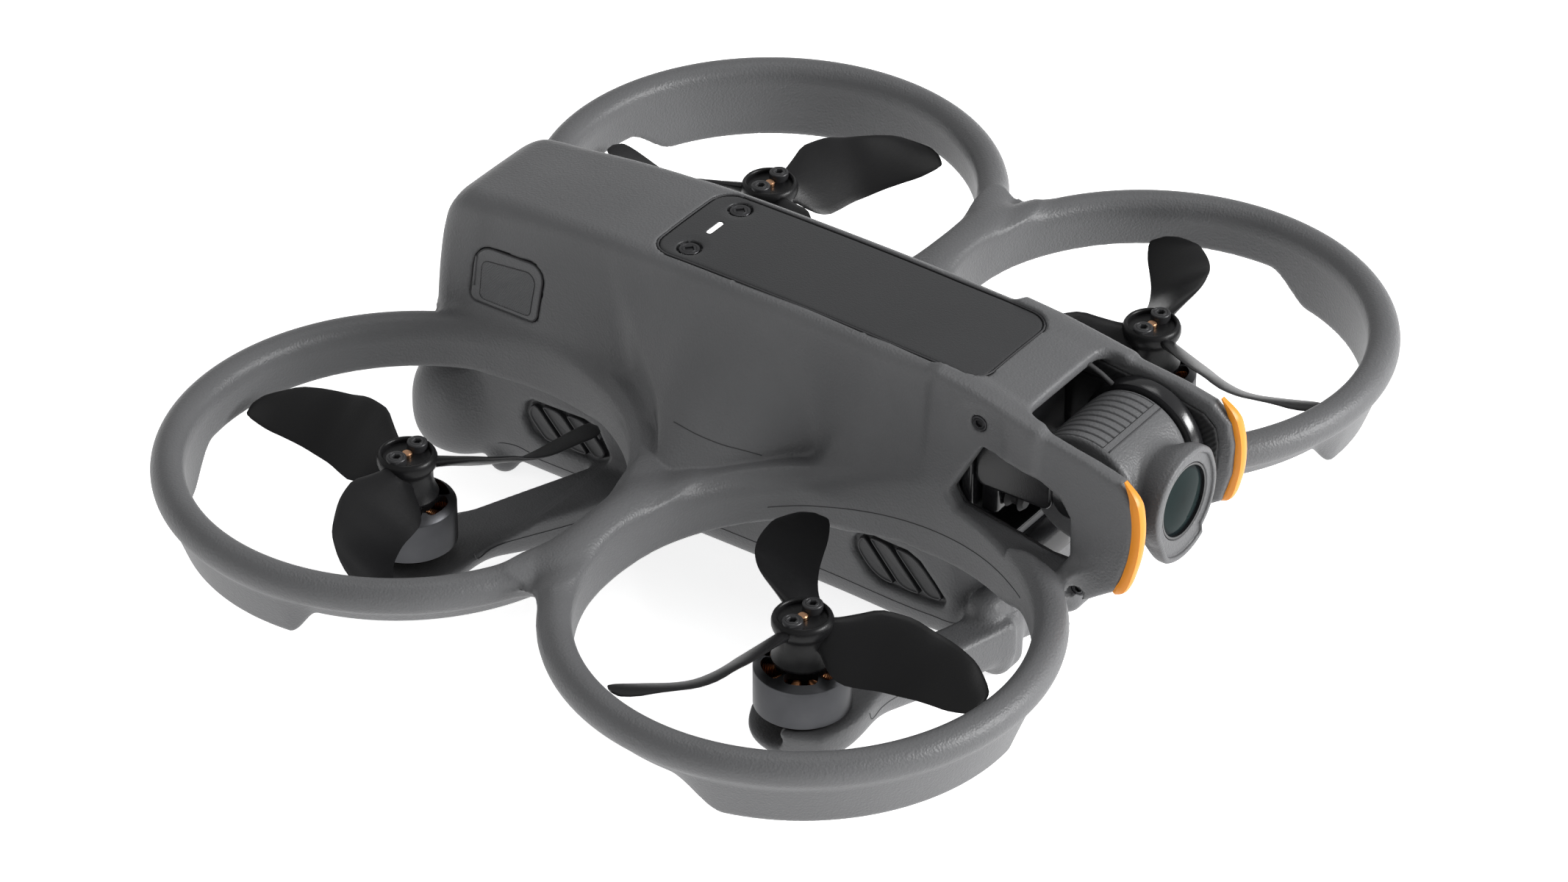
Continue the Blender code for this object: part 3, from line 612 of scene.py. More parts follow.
def guard_field(x, y, z):
    half = GUARD_HALF + 0.8 * smooth_step(-y, 76, 88)
    plate = np.abs(x - guard_middle(y, z) + (half - GUARD_HALF)) - half
    return smooth_max(plate, polygon_field(y, z, GUARD_OUTLINE, 0.0), 1.6)


PAD_LINE = rounded(PAD_CORNERS)
PATCH_LINE = rounded(PATCH_CORNERS)


def fillet_width(y):
    """Blend between hull and rings: a crisp crease beside the flare, soft in front of it and behind it."""
    crisp = smooth_step(y, -24.0, -17.0) * (1 - smooth_step(y, 8.0, 15.0))
    return 0.3 * crisp + (1 - crisp) * np.where(y < 0, 8.0, 3.2)


def carve_nose(shell, x, y, z):
    """Window, camera bay, mouth and screw dishes of the two guards."""
    window = np.maximum(polygon_field(y, z, GUARD_WINDOW, 0.6), np.abs(x - guard_middle(y, z)) - 5.0)
    shell = smooth_max(shell, -window, 1.2)
    inside = x - guard_middle(y, z) + GUARD_HALF
    roof = z - curve_through(TOP_LINE, y) + 2.4
    bay = np.maximum(np.maximum(inside, roof), np.maximum(y - CAMERA_BAY_REAR, CAMERA_BAY_FLOOR - z))
    shell = smooth_max(shell, -bay, 0.8)
    belly = np.maximum(np.maximum(x - BELLY_HALF, z - BELLY_TOP), y - BELLY_REAR)
    shell = smooth_max(shell, -belly, 0.8)
    shell = smooth_max(shell, -box_field(x, y, z, *MOUTH, 3.4), 0.8)
    for where, screw_y, screw_z in GUARD_SCREWS:
        out = guard_middle(screw_y, screw_z) + GUARD_HALF
        r = np.hypot(y - screw_y, z - screw_z)
        if where == "upper":
            dish = np.maximum(np.hypot(r, x - out - 15.0) - 15.9, x - out - 1.5)
            shell = smooth_max(shell, -dish, 0.4)
        shell = np.maximum(shell, -np.maximum(r - 1.75, np.abs(x - out) - 1.6))
    return shell


def carve_pocket(shell, x, y, z):
    pocket = np.maximum(polygon_field(y, z, PAD_LINE, 0.25), flank_x(y, z) - PAD_DEPTH - x)
    return smooth_max(shell, -pocket, 0.2)


def upper_shell_field(x, y, z):
    front, r_front = duct_field(x, y, z, -1)
    rear, r_rear = duct_field(x, y, z, 1)
    nearest = np.minimum(r_front, r_rear)
    rings = smooth_min(front, rear, 7.0)
    web = np.maximum(np.maximum(z - WEB_TOP, HULL_BOTTOM + 0.3 - z), np.maximum(x - WEB_X, np.abs(y) - WEB_Y))
    web = smooth_max(web, TUBE_MID - nearest, 0.6)
    shell = smooth_min(rings, web, 2.6)
    body = smooth_max(fuselage_field(x, y, z, r_front, r_rear), HULL_BOTTOM - z, 1.2)
    shell = smooth_min(shell, body, fillet_width(y))
    guard = smooth_min(guard_field(x, y, z), shell, 3.0 + 5.0 * smooth_step(40 - z, 0, 8))
    shell = np.where(y < -40, guard, shell)
    shell = smooth_max(shell, DUCT_R - nearest, 0.8)
    shell = carve_nose(shell, x, y, z)
    recess = np.maximum(plate_outline(x, y, PLATE_GAP), top_height(x, y) - 1.2 - z)
    shell = smooth_max(shell, -recess, 0.2)
    near_pad = box_field(x, y, z, *PAD_BOX) < 0
    shell = only_where(near_pad, shell, carve_pocket, x, y, z)
    return smooth_max(shell, -box_field(x, y, z, *BATTERY_BAY, 2.0), 0.8)


def make_upper_shell(material):
    shell = field_mesh("upper_shell", upper_shell_field, (-108, -94, 18), (108, 94, 67), cell_size(0.6))
    nodes = ["hull_shell", "side_guard_left", "side_guard_right"]
    nodes += ["duct_" + corner for corner, _, _ in CORNERS]
    return dress(shell, material, replaces=nodes)


def seam(name, points, field, material, side):
    """Thin dark line laid along a moulded part's surface."""
    path = draw_to_surface(resampled(points)[0], field, False, 2.0, 6)
    path[:, 0] *= side
    return dress(tube(name, path, SEAM_R), material)


def make_shell_seams(material):
    """Parting lines of the upper shell."""
    for label, side in SIDES:
        lines = {
            "flank": ((30.0, 3.9, 41.1), (30.2, -1.6, 40.5), (28.7, -6.4, 39.3), (26.8, -9.2, 38.3),
                      (24.7, -12.0, 37.1)),
            "front_wall": tuple((MOTOR_X - DUCT_R * math.cos(a), -MOTOR_Y + DUCT_R * math.sin(a), 29.4)
                                for a in np.radians(np.linspace(-38, 44, 9))),
        }
        for where, points in lines.items():
            seam("shell_seam_%s_%s" % (where, label), points, upper_shell_field, material, side)


def make_guard_liner_and_shade(label, side, material):
    """Dark inner lining of a nose guard, round its window: black plastic in part, and painted shade on the
    inner face that lies in shadow.
    """
    def field(x, y, z):
        out = guard_middle(y, z) - GUARD_HALF
        # dark sheet just inside the guard's inner face: painted shade over the grey, black lining in part
        sheet = np.abs(x - out + 0.45) - 0.35
        inner = np.maximum(polygon_field(y, z, GUARD_OUTLINE, -2.6), y + 48.0)
        opening = polygon_field(y, z, GUARD_WINDOW, 0.9)
        return smooth_max(smooth_max(sheet, inner, 0.3), -opening, 0.3)

    step = cell_size(0.35)
    liner = field_mesh("guard_liner_and_shade_" + label, field, (10, -88, 28), (20, -47, 62), step, mirror=False)
    if side < 0:
        mirror_x(liner)
    return dress(liner, material)


# ---------------------------------------------------------------- deck plate, pads, strips, screws


def make_deck_plate(material, seam_material):
    def field(x, y, z):
        top = top_height(x, y) - 0.12
        slab = np.maximum(z - top, top - 1.0 - z)
        plate = smooth_max(slab, plate_outline(x, y, 0.0), 0.9)
        for screw_x in (-PLATE_SCREW.x, PLATE_SCREW.x):
            r = np.hypot(x - screw_x, y - PLATE_SCREW.y)
            surface = top_height(PLATE_SCREW.x, PLATE_SCREW.y) - 0.12
            dish = np.hypot(r, z - surface - 14.0) - 14.4
            plate = smooth_max(plate, -dish, 0.25)
            plate = np.maximum(plate, -(np.abs(r - 2.35) - 0.16 + np.maximum(surface - 0.75 - z, 0)))
            plate = np.maximum(plate, 2.15 - r)
        window = np.hypot(np.maximum(np.abs(x) - 1.75, 0), y - PLATE_SCREW.y) - 0.62
        return np.maximum(plate, -window)

    low = (-PLATE_HALF[0] - 1, PLATE_LOW.y - 1, PLATE_LOW.z + 0.3)
    high = (PLATE_HALF[0] + 1, PLATE_HIGH.y + 1, PLATE_HIGH.z + 1)
    plate = field_mesh("deck_plate", field, low, high, cell_size(0.3))
    half_x, half_y = (half + 0.12 for half in PLATE_HALF)
    corners = [(across * half_x, PLATE_MID_Y + along * half_y, PLATE_CORNER)
               for across, along in ((1, 1), (-1, 1), (-1, -1), (1, -1))]
    line = rounded(corners)
    gap = [(x, y, float(top_height(x, y)) - 0.22) for x, y in split(line[1:] + line[:1], 3)]
    dress(tube("plate_gap", gap + gap[:1], 0.2), seam_material)
    return dress(plate, material, replaces=["top_plate"])


def socket_ring(radius, points, sides):
    """Regular polygon as a ring of many points, for a recess in a round head."""
    ring = []
    for i in range(points):
        a = math.tau * i / points
        turn = math.tau / sides
        r = radius / math.cos((a % turn) - turn / 2)
        ring.append((r * math.cos(a), r * math.sin(a)))
    return ring


def screw(name, radius, height, socket, place, towards=(0, 0, 1), sides=6, dome=0.25):
    """Cap screw: rounded head with a polygonal recess; place is the middle of its underside."""
    count = 48
    circle = arc((0, 0), 1, 0, 360, count + 1)[:-1]
    hole = socket_ring(socket, count, sides)
    levels = [(radius * 0.9, 0), (radius, 0.1), (radius, height - dome)]
    levels += [(radius - dome * (1 - math.cos(a)), height - dome * (1 - math.sin(a)))
               for a in np.radians((30, 60, 90))]
    levels += [(radius * 0.72, height), (radius * 0.68, height - 0.08), (radius * 0.64, height)]
    rings = [[(r * c, r * s, h) for c, s in circle] for r, h in levels]
    rings += [[(c * k, s * k, h) for c, s in hole] for k, h in ((1.12, height), (1, height - 0.1),
                                                               (0.95, height * 0.35))]
    turn = Vector((0, 0, 1)).rotation_difference(Vector(towards)).to_matrix()
    rings = [[tuple(turn @ Vector(p) + Vector(place)) for p in ring] for ring in rings]
    return loft(name, rings, angle=40)


def make_screws(material):
    surface = top_height(PLATE_SCREW.x, PLATE_SCREW.y) - 0.95
    for label, side in SIDES:
        name = "plate_screw_" + label
        place = (side * PLATE_SCREW.x, PLATE_SCREW.y, surface)
        head = screw(name + "_head", 2.05, 0.55, 0.75, place, sides=4)
        dress(head, material, replaces=[name])
        for where, y, z in GUARD_SCREWS:
            name = "guard_screw_%s_%s" % (where, label)
            out = guard_middle(y, z) + GUARD_HALF - 1.5
            head = screw(name + "_head", 1.6, 0.7, 0.62, (side * out, y, z), (side, 0, 0))
            dress(head, material, replaces=[name])


def make_status_light(material):
    x, y = 1.7, PLATE_SCREW.y
    top = top_height(0, y) - 0.2
    rings = [[(u, v, z) for u, v in arc((x, y), half, -90, 90, 13) + arc((-x, y), half, 90, 270, 13)]
             for half, z in ((0.5, top - 0.8), (0.55, top - 0.15), (0.45, top))]
    light = loft("status_light_window", rings, angle=40)
    return dress(light, material, replaces=["status_light"])


def make_release_pad(label, side, material, patch_material, seam_material):
    """Pad in the flank: softly rounded rim, finely knurled patch and a short rib at its rear."""
    body = "release_pad_" + label
    rings = [on_flank(inset(PAD_LINE, inwards), side, lift) for inwards, lift in PAD_RIM]
    dress(loft("pad_" + label, rings, angle=40), material, body, [body])
    rib = on_flank(((61.2, 49.0), (61.4, 47.0), (61.6, 44.0), (61.7, 42.6)), side, 0.05)
    dress(tube("pad_rib_" + label, rib, 0.28), material, body)
    gap = on_flank(inset(PAD_LINE, -0.14), side, -0.12)
    dress(tube("pad_gap_" + label, gap + gap[:1], 0.2), seam_material)
    edge = on_flank(PATCH_LINE, side, 0.03)
    dress(tube("patch_edge_" + label, edge + edge[:1], 0.1), seam_material, body)
    return dress(grip_patch("pad_grip_" + label, side), patch_material, body)


GRIP_PITCH = 0.62


def grip_patch(name, side):
    """Fine diamond knurl that fills the pad's patch."""
    step = cell_size(0.1)
    y, z = np.meshgrid(np.arange(46.6, 60.6, step), np.arange(40.2, 50.6, step), indexing="ij")
    wave = np.cos(math.pi * (y + z) / GRIP_PITCH) * np.cos(math.pi * (y - z) / GRIP_PITCH)
    x = flank_x(y, z) + 0.02 + 0.11 * np.abs(wave)
    keep = polygon_field(y, z, PATCH_LINE, 0.0) < 0
    index = np.arange(y.size).reshape(y.shape)
    corner = [index[:-1, :-1], index[1:, :-1], index[1:, 1:], index[:-1, 1:]]
    kept = keep[:-1, :-1] & keep[1:, :-1] & keep[1:, 1:] & keep[:-1, 1:]
    quads = np.stack([c[kept] for c in corner], 1)
    used, order = np.unique(quads, return_inverse=True)
    quads = order.reshape(quads.shape)
    points = np.stack([side * x.ravel(), y.ravel(), z.ravel()], 1)[used]
    patch = mesh_piece(name, points, (quads if side > 0 else quads[:, ::-1]).tolist(), 60)
    thicken = patch.modifiers.new("back", "SOLIDIFY")
    thicken.thickness = 0.4 * MM
    thicken.offset = -1
    return apply_modifiers(patch)


STRIP_LINE = ((-85.6, 55.6), (-87.9, 52.6), (-89.0, 48.6), (-89.2, 44.5), (-88.4, 38.6), (-86.5, 33.6),
              (-85.4, 32.5))
STRIP_HALF = 1.1
STRIP_REACH = 1.15
STRIP_STEPS = 48


def make_strip(label, side, material):
    """Bright bumper strip that wraps the outer front edge of a nose guard; it starts in a point."""
    line, at = resampled(STRIP_LINE, STRIP_STEPS)
    rings = []
    for i, (y, z) in enumerate(line):
        along = line[min(i + 1, STRIP_STEPS - 1)] - line[max(i - 1, 0)]
        along /= np.hypot(*along)
        reach = at[i] / at[-1]
        width = STRIP_HALF * min(1, 0.12 + 4.5 * reach) * min(1, 0.4 + 8 * (1 - reach))
        thick = STRIP_REACH * (0.35 + 0.65 * width / STRIP_HALF)
        middle = guard_middle(y, z) + 0.6
        rings.append([(side * (middle + thick * v), y + along[1] * width * u, z - along[0] * width * u)
                      for u, v in squircle(32, 0.5)])
    strip = loft("bumper_strip_%s_skin" % label, rings, angle=50)
    return dress(strip, material, replaces=["bumper_strip_" + label])


# ---------------------------------------------------------------- lower shell

POD_HALF = ((-64.0, 9.5), (-58.0, 10.5), (-53.5, 12.0), (-49.0, 15.2), (-44.0, 15.6), (-20.0, 15.2),
            (20.0, 15.2), (52.0, 15.5), (64.0, 15.2))
POD_TOP = 25.9
POD_BOTTOM = 1.5
POD_ENDS = (-60.4, 63.2)
POD_ROOM = ((-11.0, -44, 4.0), (11.0, 58, 40))
VENT_SHAPES = {
    "front": ((-26.2, 18.3), (-27.6, 20.0), (-29.8, 20.5), (-38.4, 20.4), (-41.0, 19.2), (-46.6, 12.8),
              (-46.2, 11.6), (-44.4, 11.2), (-32.4, 11.2), (-29.4, 12.6), (-26.4, 16.0)),
    "rear": ((50.6, 16.2), (50.0, 19.4), (48.4, 20.4), (36.4, 20.6), (33.6, 19.8), (31.0, 15.0),
             (31.4, 13.2), (33.2, 12.2), (46.0, 12.0), (49.0, 13.4)),
}
VENT_DEPTH = 1.7
LOUVRE_SLANT = 0.92
LOUVRE_WIDTH = 4.7
LOUVRE_PITCH = 5.9
LOUVRE_RIM = ((0.0, 0.0), (0.0, 0.95), (0.14, 1.1), (0.34, 1.1), (0.5, 0.92), (0.7, 0.85))
KNOB = ((9.0, -58.9, 8.8), (17.6, -51.8, 17.6))
LEG = ((7.5, -60.6, 0.1), (16.8, -50.5, 13.4))
REAR_FOOT = (13.0, 57.5)
ARM_ROOTS = {1: (21.0, 29.5), -1: (20.4, -55.6)}
ARM_PAD_R = 10.1
ARM_HALF = 6.3
ARM_ROOT_HALF = {1: 6.3, -1: 4.0}
ARM_LEVELS = ((14.6, 12.9), (8.0, 3.4))


def pod_half(y):
    return curve_through(POD_HALF, y)


def arm_axes(end):
    tip = np.array([MOTOR_X, end * MOTOR_Y])
    along = np.array(ARM_ROOTS[end]) - tip
    length = np.hypot(*along)
    along = along / length
    return tip, along, np.array([-along[1], along[0]]), length


def arm_field(x, y, z, end):
    """Flat beam from the pod to a round motor pad."""
    tip, along, across, length = arm_axes(end)
    s = (x - tip[0]) * along[0] + (y - tip[1]) * along[1]
    w = (x - tip[0]) * across[0] + (y - tip[1]) * across[1]
    pad = np.hypot(s, w) - ARM_PAD_R
    share = smooth_step(s, 4, length)
    half = ARM_HALF + (ARM_ROOT_HALF[end] - ARM_HALF) * share
    beam = np.maximum(np.abs(w) - half, np.maximum(-s, s - length - 8))
    plan = smooth_min(pad, beam, 9.0)
    top = ARM_LEVELS[0][0] + (ARM_LEVELS[0][1] - ARM_LEVELS[0][0]) * share
    bottom = ARM_LEVELS[1][0] + (ARM_LEVELS[1][1] - ARM_LEVELS[1][0]) * share
    return smooth_max(smooth_max(plan, z - top, 1.6), bottom - z, 4.0)


def pod_field(x, y, z):
    side = smooth_max(x - pod_half(y), POD_BOTTOM - z, 9.0)
    pod = smooth_max(side, z - POD_TOP, 0.5)
    pod = smooth_max(smooth_max(pod, y - POD_ENDS[1], 2.0), POD_ENDS[0] - y, 6.0)
    leg = box_field(x, y, z, *LEG, 3.2)
    pod = smooth_min(pod, leg, 2.0)
    knob = box_field(x, y, z, *KNOB, 3.4)
    pod = smooth_min(pod, knob, 0.6)
    foot = np.sqrt((x - REAR_FOOT[0]) ** 2 + (y - REAR_FOOT[1]) ** 2 + (z - 3.2) ** 2) - 3.1
    return smooth_min(pod, foot, 1.2)


LOBE_MID = (12.4, 68.6, 12.9)
LOBE_HALF = (9.6, 8.3, 11.3)
LOBE_POWER = 2.4


def lobe_field(x, y, z):
    """Soft bulge, fuller below, at the pod's rear corner."""
    reach = sum((np.abs(c - middle) / half) ** LOBE_POWER
                for c, middle, half in zip((x, y, z), LOBE_MID, LOBE_HALF))
    return (reach ** (1 / LOBE_POWER) - 1) * 8.8


def lower_shell_field(x, y, z):
    pod = smooth_min(pod_field(x, y, z), lobe_field(x, y, z), 4.5)
    for end in (-1, 1):
        pod = smooth_min(pod, arm_field(x, y, z, end), 2.2)
    pod = smooth_max(pod, -box_field(x, y, z, *POD_ROOM, 1.5), 0.5)
    for outline in VENT_SHAPES.values():
        recess = np.maximum(polygon_field(y, z, outline, 0.3), pod_half(y) - VENT_DEPTH - x)
        pod = smooth_max(pod, -recess, 1.3)
    return pod


def make_lower_shell(material):
    shell = field_mesh("lower_shell", lower_shell_field, (-72, -67, -1), (72, 80, 28), cell_size(0.6))
    nodes = ["lower_pod", "rear_lobe_left", "rear_lobe_right"]
    nodes += ["motor_arm_" + corner for corner, _, _ in CORNERS]
    return dress(shell, material, replaces=nodes)


def make_lower_seams(material):
    for label, side in SIDES:
        lines = {
            "side": tuple((16.0, y, 8.4) for y in np.linspace(-50, 30, 9)),
            "rear_side": tuple((16.0, y, 7.4) for y in np.linspace(31, 50, 5)),
            "rear_arch": ((17.0, 62.6, 3.0), (17.0, 60.3, 5.7), (17.0, 56.8, 7.5), (17.0, 52.5, 8.6),
                          (17.0, 49.6, 8.2)),
            "vent": ((16.0, -22.0, 20.6), (16.0, -26.0, 20.3)),
        }
        for where, points in lines.items():
            seam("pod_seam_%s_%s" % (where, label), points, pod_field, material, side)
        for end, name in ((-1, "front"), (1, "rear")):
            tip, along, across, length = arm_axes(end)
            for edge in (-1, 1):
                path = [(8.6, ARM_HALF + 2.2, 13.2), (9.4, ARM_HALF + 2.0, 11.4)]
                path += [(s, ARM_HALF + 0.5, 11.4 - 2.0 * smooth_step(s, 9, length))
                         for s in np.linspace(13, length - 4, 8)]
                points = [(*(tip + along * s + across * edge * w), z) for s, w, z in path]

                def field(x, y, z, end=end):
                    return arm_field(x, y, z, end)

                seam("arm_seam_%s_%s_%s" % (name, "ab"[edge > 0], label), points, field, material, side)


def make_vent(vent, label, side, material, back_material):
    """Slanted louvres in the pod's recess: panels with raised bright edges over a black back."""
    def at_depth(line, lift):
        return [(side * (float(pod_half(y)) - VENT_DEPTH + lift), y, z) for y, z in line]

    outline = VENT_SHAPES[vent]
    name = "louvres_%s_%s" % (vent, label)
    back = loft(name + "_back", [at_depth(inset(outline, -0.4), lift) for lift in (-0.3, 0.1)])
    dress(back, back_material, replaces=["vent_grille_%s_%s" % (vent, label)])
    inner = inset(outline, 0.35)
    middle = sum(y for y, _ in outline) / len(outline) - LOUVRE_SLANT * 15.8
    for row in range(-2, 3):
        start = middle + (row * LOUVRE_PITCH - LOUVRE_WIDTH / 2)
        strip = clipped(inner, 1, -LOUVRE_SLANT, start + LOUVRE_WIDTH)
        strip = clipped(strip, -1, LOUVRE_SLANT, -start)
        spread = max((y for y, _ in strip), default=0) - min((y for y, _ in strip), default=0)
        if len(strip) < 3 or spread < 3.0:
            continue
        strip = eased(split(strip, 1.0))
        rings = [at_depth(inset(strip, inwards), lift) for inwards, lift in LOUVRE_RIM]
        dress(loft("%s_%s" % (name, "abcde"[row + 2]), rings, angle=30), material)


# ---------------------------------------------------------------- camera

BARREL_R = 11.5
BARREL_HALF = 9.6
RIB_PITCH = 1.95
HOOD_FACE = 16.9
LENS_DROP = -0.9
LENS_R = 7.3


def hood_radius(angle):
    """Outline of the lens hood seen from the front, with a tab below that ends in a notch."""
    tab = smooth_step(angle, -150, -118) * (1 - smooth_step(angle, -60, -55))
    corner = smooth_step(angle, 20, 48) * (1 - smooth_step(angle, 62, 90))
    return 10.3 + 1.7 * tab + 0.5 * corner


def camera_field(x, y, z):
    dy, dz = y - CAMERA.y, z - CAMERA.z
    r = np.hypot(dy, dz)
    angle = np.degrees(np.arctan2(dz, dy))
    ribbed = smooth_step(angle, 4, 6) * (1 - smooth_step(angle, 109, 110))
    share = ribbed * (1 - smooth_step(np.abs(x), 8.6, 8.9))
    barrel = smooth_max(r - BARREL_R + 0.75 * share, np.abs(x) - BARREL_HALF, 1.4)
    lens_z = dz - LENS_DROP
    rho = np.hypot(x, lens_z)
    ahead = -dy
    reach = hood_radius(np.degrees(np.arctan2(lens_z, x)))
    swell = smooth_step(ahead, 8.5, HOOD_FACE - 1.5)
    bell = (rho - 8.2 - (reach - 8.2) * swell) / 1.25
    bell = smooth_max(bell, np.maximum(ahead - HOOD_FACE, -ahead), 0.7)
    body = smooth_min(barrel, bell, 1.6)
    jog = smooth_step(np.degrees(np.arctan2(lens_z, x)), 125, 129)
    step = np.maximum(rho - reach + 1.25 + 0.55 * jog, HOOD_FACE - 0.55 - ahead)
    body = smooth_max(body, -step, 0.2)
    seat = np.maximum(rho - LENS_R - 0.25, HOOD_FACE - 3.0 - ahead)
    return smooth_max(body, -seat, 0.25)


def make_ribs():
    """Saw-tooth grip ribs round the back and top of the barrel."""
    count = 9
    start = -count * RIB_PITCH / 2
    section = [(start, BARREL_R - 1.2)]
    for i in range(count):
        x = start + i * RIB_PITCH
        section += [(x + 0.05, BARREL_R - 0.32), (x + 0.2, BARREL_R - 0.06), (x + 0.34, BARREL_R),
                    (x + RIB_PITCH - 0.32, BARREL_R - 0.14), (x + RIB_PITCH - 0.08, BARREL_R - 0.32)]
    section += [(-start, BARREL_R - 1.2)]
    rings = []
    for a in np.radians(np.linspace(6, 109.4, 56)):
        rings.append([(x, CAMERA.y + r * math.cos(a), CAMERA.z + r * math.sin(a)) for x, r in section])
    return loft("barrel_ribs", rings, angle=25)


def make_camera(shell_material, black_material, glass_material, seam_material):
    step = cell_size(0.24)
    low = (-BARREL_HALF - 3.4, CAMERA.y - HOOD_FACE - 1, CAMERA.z - 14)
    high = (BARREL_HALF + 3.4, CAMERA.y + 13, CAMERA.z + 13)
    head = field_mesh("camera_head", camera_field, low, high, step, mirror=False)
    dress(head, shell_material, "camera", ["camera_body", "lens_hood"])
    dress(make_ribs(), shell_material, "camera")
    seam_y, seam_z = arc((CAMERA.y, CAMERA.z), BARREL_R, 117, 117, 1)[0]
    line = [(x, seam_y, seam_z) for x in np.linspace(-8.7, 8.7, 12)]
    dress(tube("barrel_seam", line, 0.16), seam_material, "camera")
    front = CAMERA.y - HOOD_FACE
    axis = (0, 0, CAMERA.z + LENS_DROP)
    dome = [(r, front + 0.85 + 0.011 * r * r) for r in np.linspace(0.02, LENS_R - 0.25, 10)]
    profile = dome + [(LENS_R - 0.25, front + 2.6), (0.02, front + 2.6)]
    glass = turned("front_glass", profile, axis, "Y", 72)
    dress(glass, glass_material, "camera", ["lens_glass"])
    rim = [(LENS_R - 0.3, front + 0.75), (LENS_R + 0.1, front + 0.7), (LENS_R + 0.2, front + 0.9),
           (LENS_R + 0.2, front + 2.2), (LENS_R - 0.3, front + 2.2)]
    dress(turned("glass_rim", rim, axis, "Y", 72), black_material, "camera")


def make_gimbal(black_material, rubber_material):
    """Tilt motor on the left, pivot on the right, fork and soft mounts behind the camera."""
    inner, outer = 10.0, 13.2
    cup = [(0.05, inner), (9.0, inner), (11.2, inner), (12.0, inner + 0.2), (12.3, inner + 0.7),
           (12.3, outer - 0.2), (12.0, outer + 0.2), (11.4, outer + 0.3), (0.05, outer + 0.3)]
    pin = [(0.05, -13.2), (3.6, -13.2), (4.2, -12.8), (4.2, -11.4), (3.4, -10.9), (3.4, -10.7), (0.05, -10.7)]
    cases = (("tilt_motor", cup, 72, "gimbal_motor"), ("pivot_boss", pin, 48, "gimbal_pivot"))
    for name, profile, steps, node in cases:
        dress(turned(name, profile, CAMERA_AXIS, "X", steps), black_material, replaces=[node])
    dress(make_fork(), black_material, replaces=["gimbal_bracket"])
    dress(make_bay_lining(), black_material)
    half = [(0.05, -2.2), (1.2, -2.2), (1.9, -1.4), (1.0, -0.5)]
    profile = half + [(r, -h) for r, h in reversed(half)]
    for label, side in SIDES:
        for level, z in (("upper", 57.0), ("lower", 36.0)):
            damper = turned("damper_%s_%s" % (level, label), profile, (side * 8.2, 0, z), "Y", 32)
            dress(damper, rubber_material, at=Vector((0, -57.4, 0)) * MM)
    path = [(7.4, -60.0, 58.4), (8.6, -62.0, 58.0), (9.4, -64.0, 56.4), (10.0, -66.0, 54.6)]
    return dress(tube("camera_cable", path, 0.5), rubber_material)


FORK_FRAME = ((-11.5, -55.4, 33.2), (11.5, -51.6, 55.4))
FORK_WALL = ((-13.4, -51.0, 27.6), (13.4, -48.6, 58.0))
FORK_PLATES = (
    # middle of the plate's thickness, outline box
    (12.6, (0, -66.0, 38.0), (30, -51.6, 53.0)),
    (-12.6, (-30, -68.0, 40.0), (0, -51.6, 50.0)),
)


def make_fork():
    """Frame behind the barrel with two side plates that carry the tilt motor and the pivot."""
    def field(x, y, z):
        fork = np.minimum(box_field(x, y, z, *FORK_FRAME, 1.0), box_field(x, y, z, *FORK_WALL, 0.5))
        for middle, low, high in FORK_PLATES:
            plate = smooth_max(np.abs(x - middle) - 0.55, box_field(x, y, z, low, high, 2.0), 0.4)
            fork = smooth_min(fork, plate, 0.8)
        return fork

    return field_mesh("camera_fork", field, (-15, -70, 26), (15, -47, 60), cell_size(0.4), mirror=False)


LINING_NOSE = ((-11.6, -66, 19.5), (11.6, -56.6, 32))
LINING_FLOOR = ((-12.2, -57.4, 28.3), (12.2, -48.0, 28.9))


def make_bay_lining():
    """Black skin over the shells below the camera, where the bay's floor runs down to the pod's nose."""
    def field(x, y, z):
        shell = lower_shell_field(np.abs(x), y, z)
        skin = np.maximum(shell - 0.4, -0.3 - shell)
        nose = smooth_max(skin, box_field(x, y, z, *LINING_NOSE, 1.0), 0.3)
        return np.minimum(nose, box_field(x, y, z, *LINING_FLOOR, 0.25))

    step = cell_size(0.35)
    return field_mesh("camera_bay_lining", field, (-14, -66, 18), (14, -46, 31), step, mirror=False)


# ---------------------------------------------------------------- rotors

BELL_R = 9.0
BELL_Z = (15.1, 24.8)
COIL_Z = 20.2
HUB_R = 5.7
NECK_R = 4.8
HUB_SCREW_X = 3.15
BLADE_SHAPE = (
    # radius, low edge and high edge across the blade, pitch in degrees, height of its axis, thickness
    (2.0, -1.2, 2.6, 38.0, 30.9, 2.6),
    (5.0, -1.9, 4.0, 38.0, 30.3, 2.4),
    (8.0, -3.5, 6.2, 37.0, 29.5, 1.9),
    (11.0, -3.8, 8.4, 37.0, 28.6, 1.5),
    (14.0, -2.8, 9.5, 37.0, 27.6, 1.25),
    (17.5, -1.6, 10.2, 36.8, 26.8, 1.1),
    (21.0, -1.0, 10.5, 33.5, 26.4, 1.0),
    (25.0, -0.9, 10.3, 29.8, 26.9, 0.9),
    (29.0, -1.4, 9.2, 27.0, 27.9, 0.82),
    (32.5, -1.9, 7.8, 23.6, 28.7, 0.75),
    (35.0, -1.95, 6.2, 18.0, 29.2, 0.68),
    (36.8, -1.7, 4.6, 14.0, 29.5, 0.6),
    (37.7, -1.0, 3.2, 12.0, 29.6, 0.5),
    (38.0, 0.2, 1.8, 12.0, 29.6, 0.4),
)
BLADE_ANGLES = {-1: 30.0, 1: 90.0}
SPIN = {"rear_right": -1, "front_left": -1, "front_right": 1, "rear_left": 1}
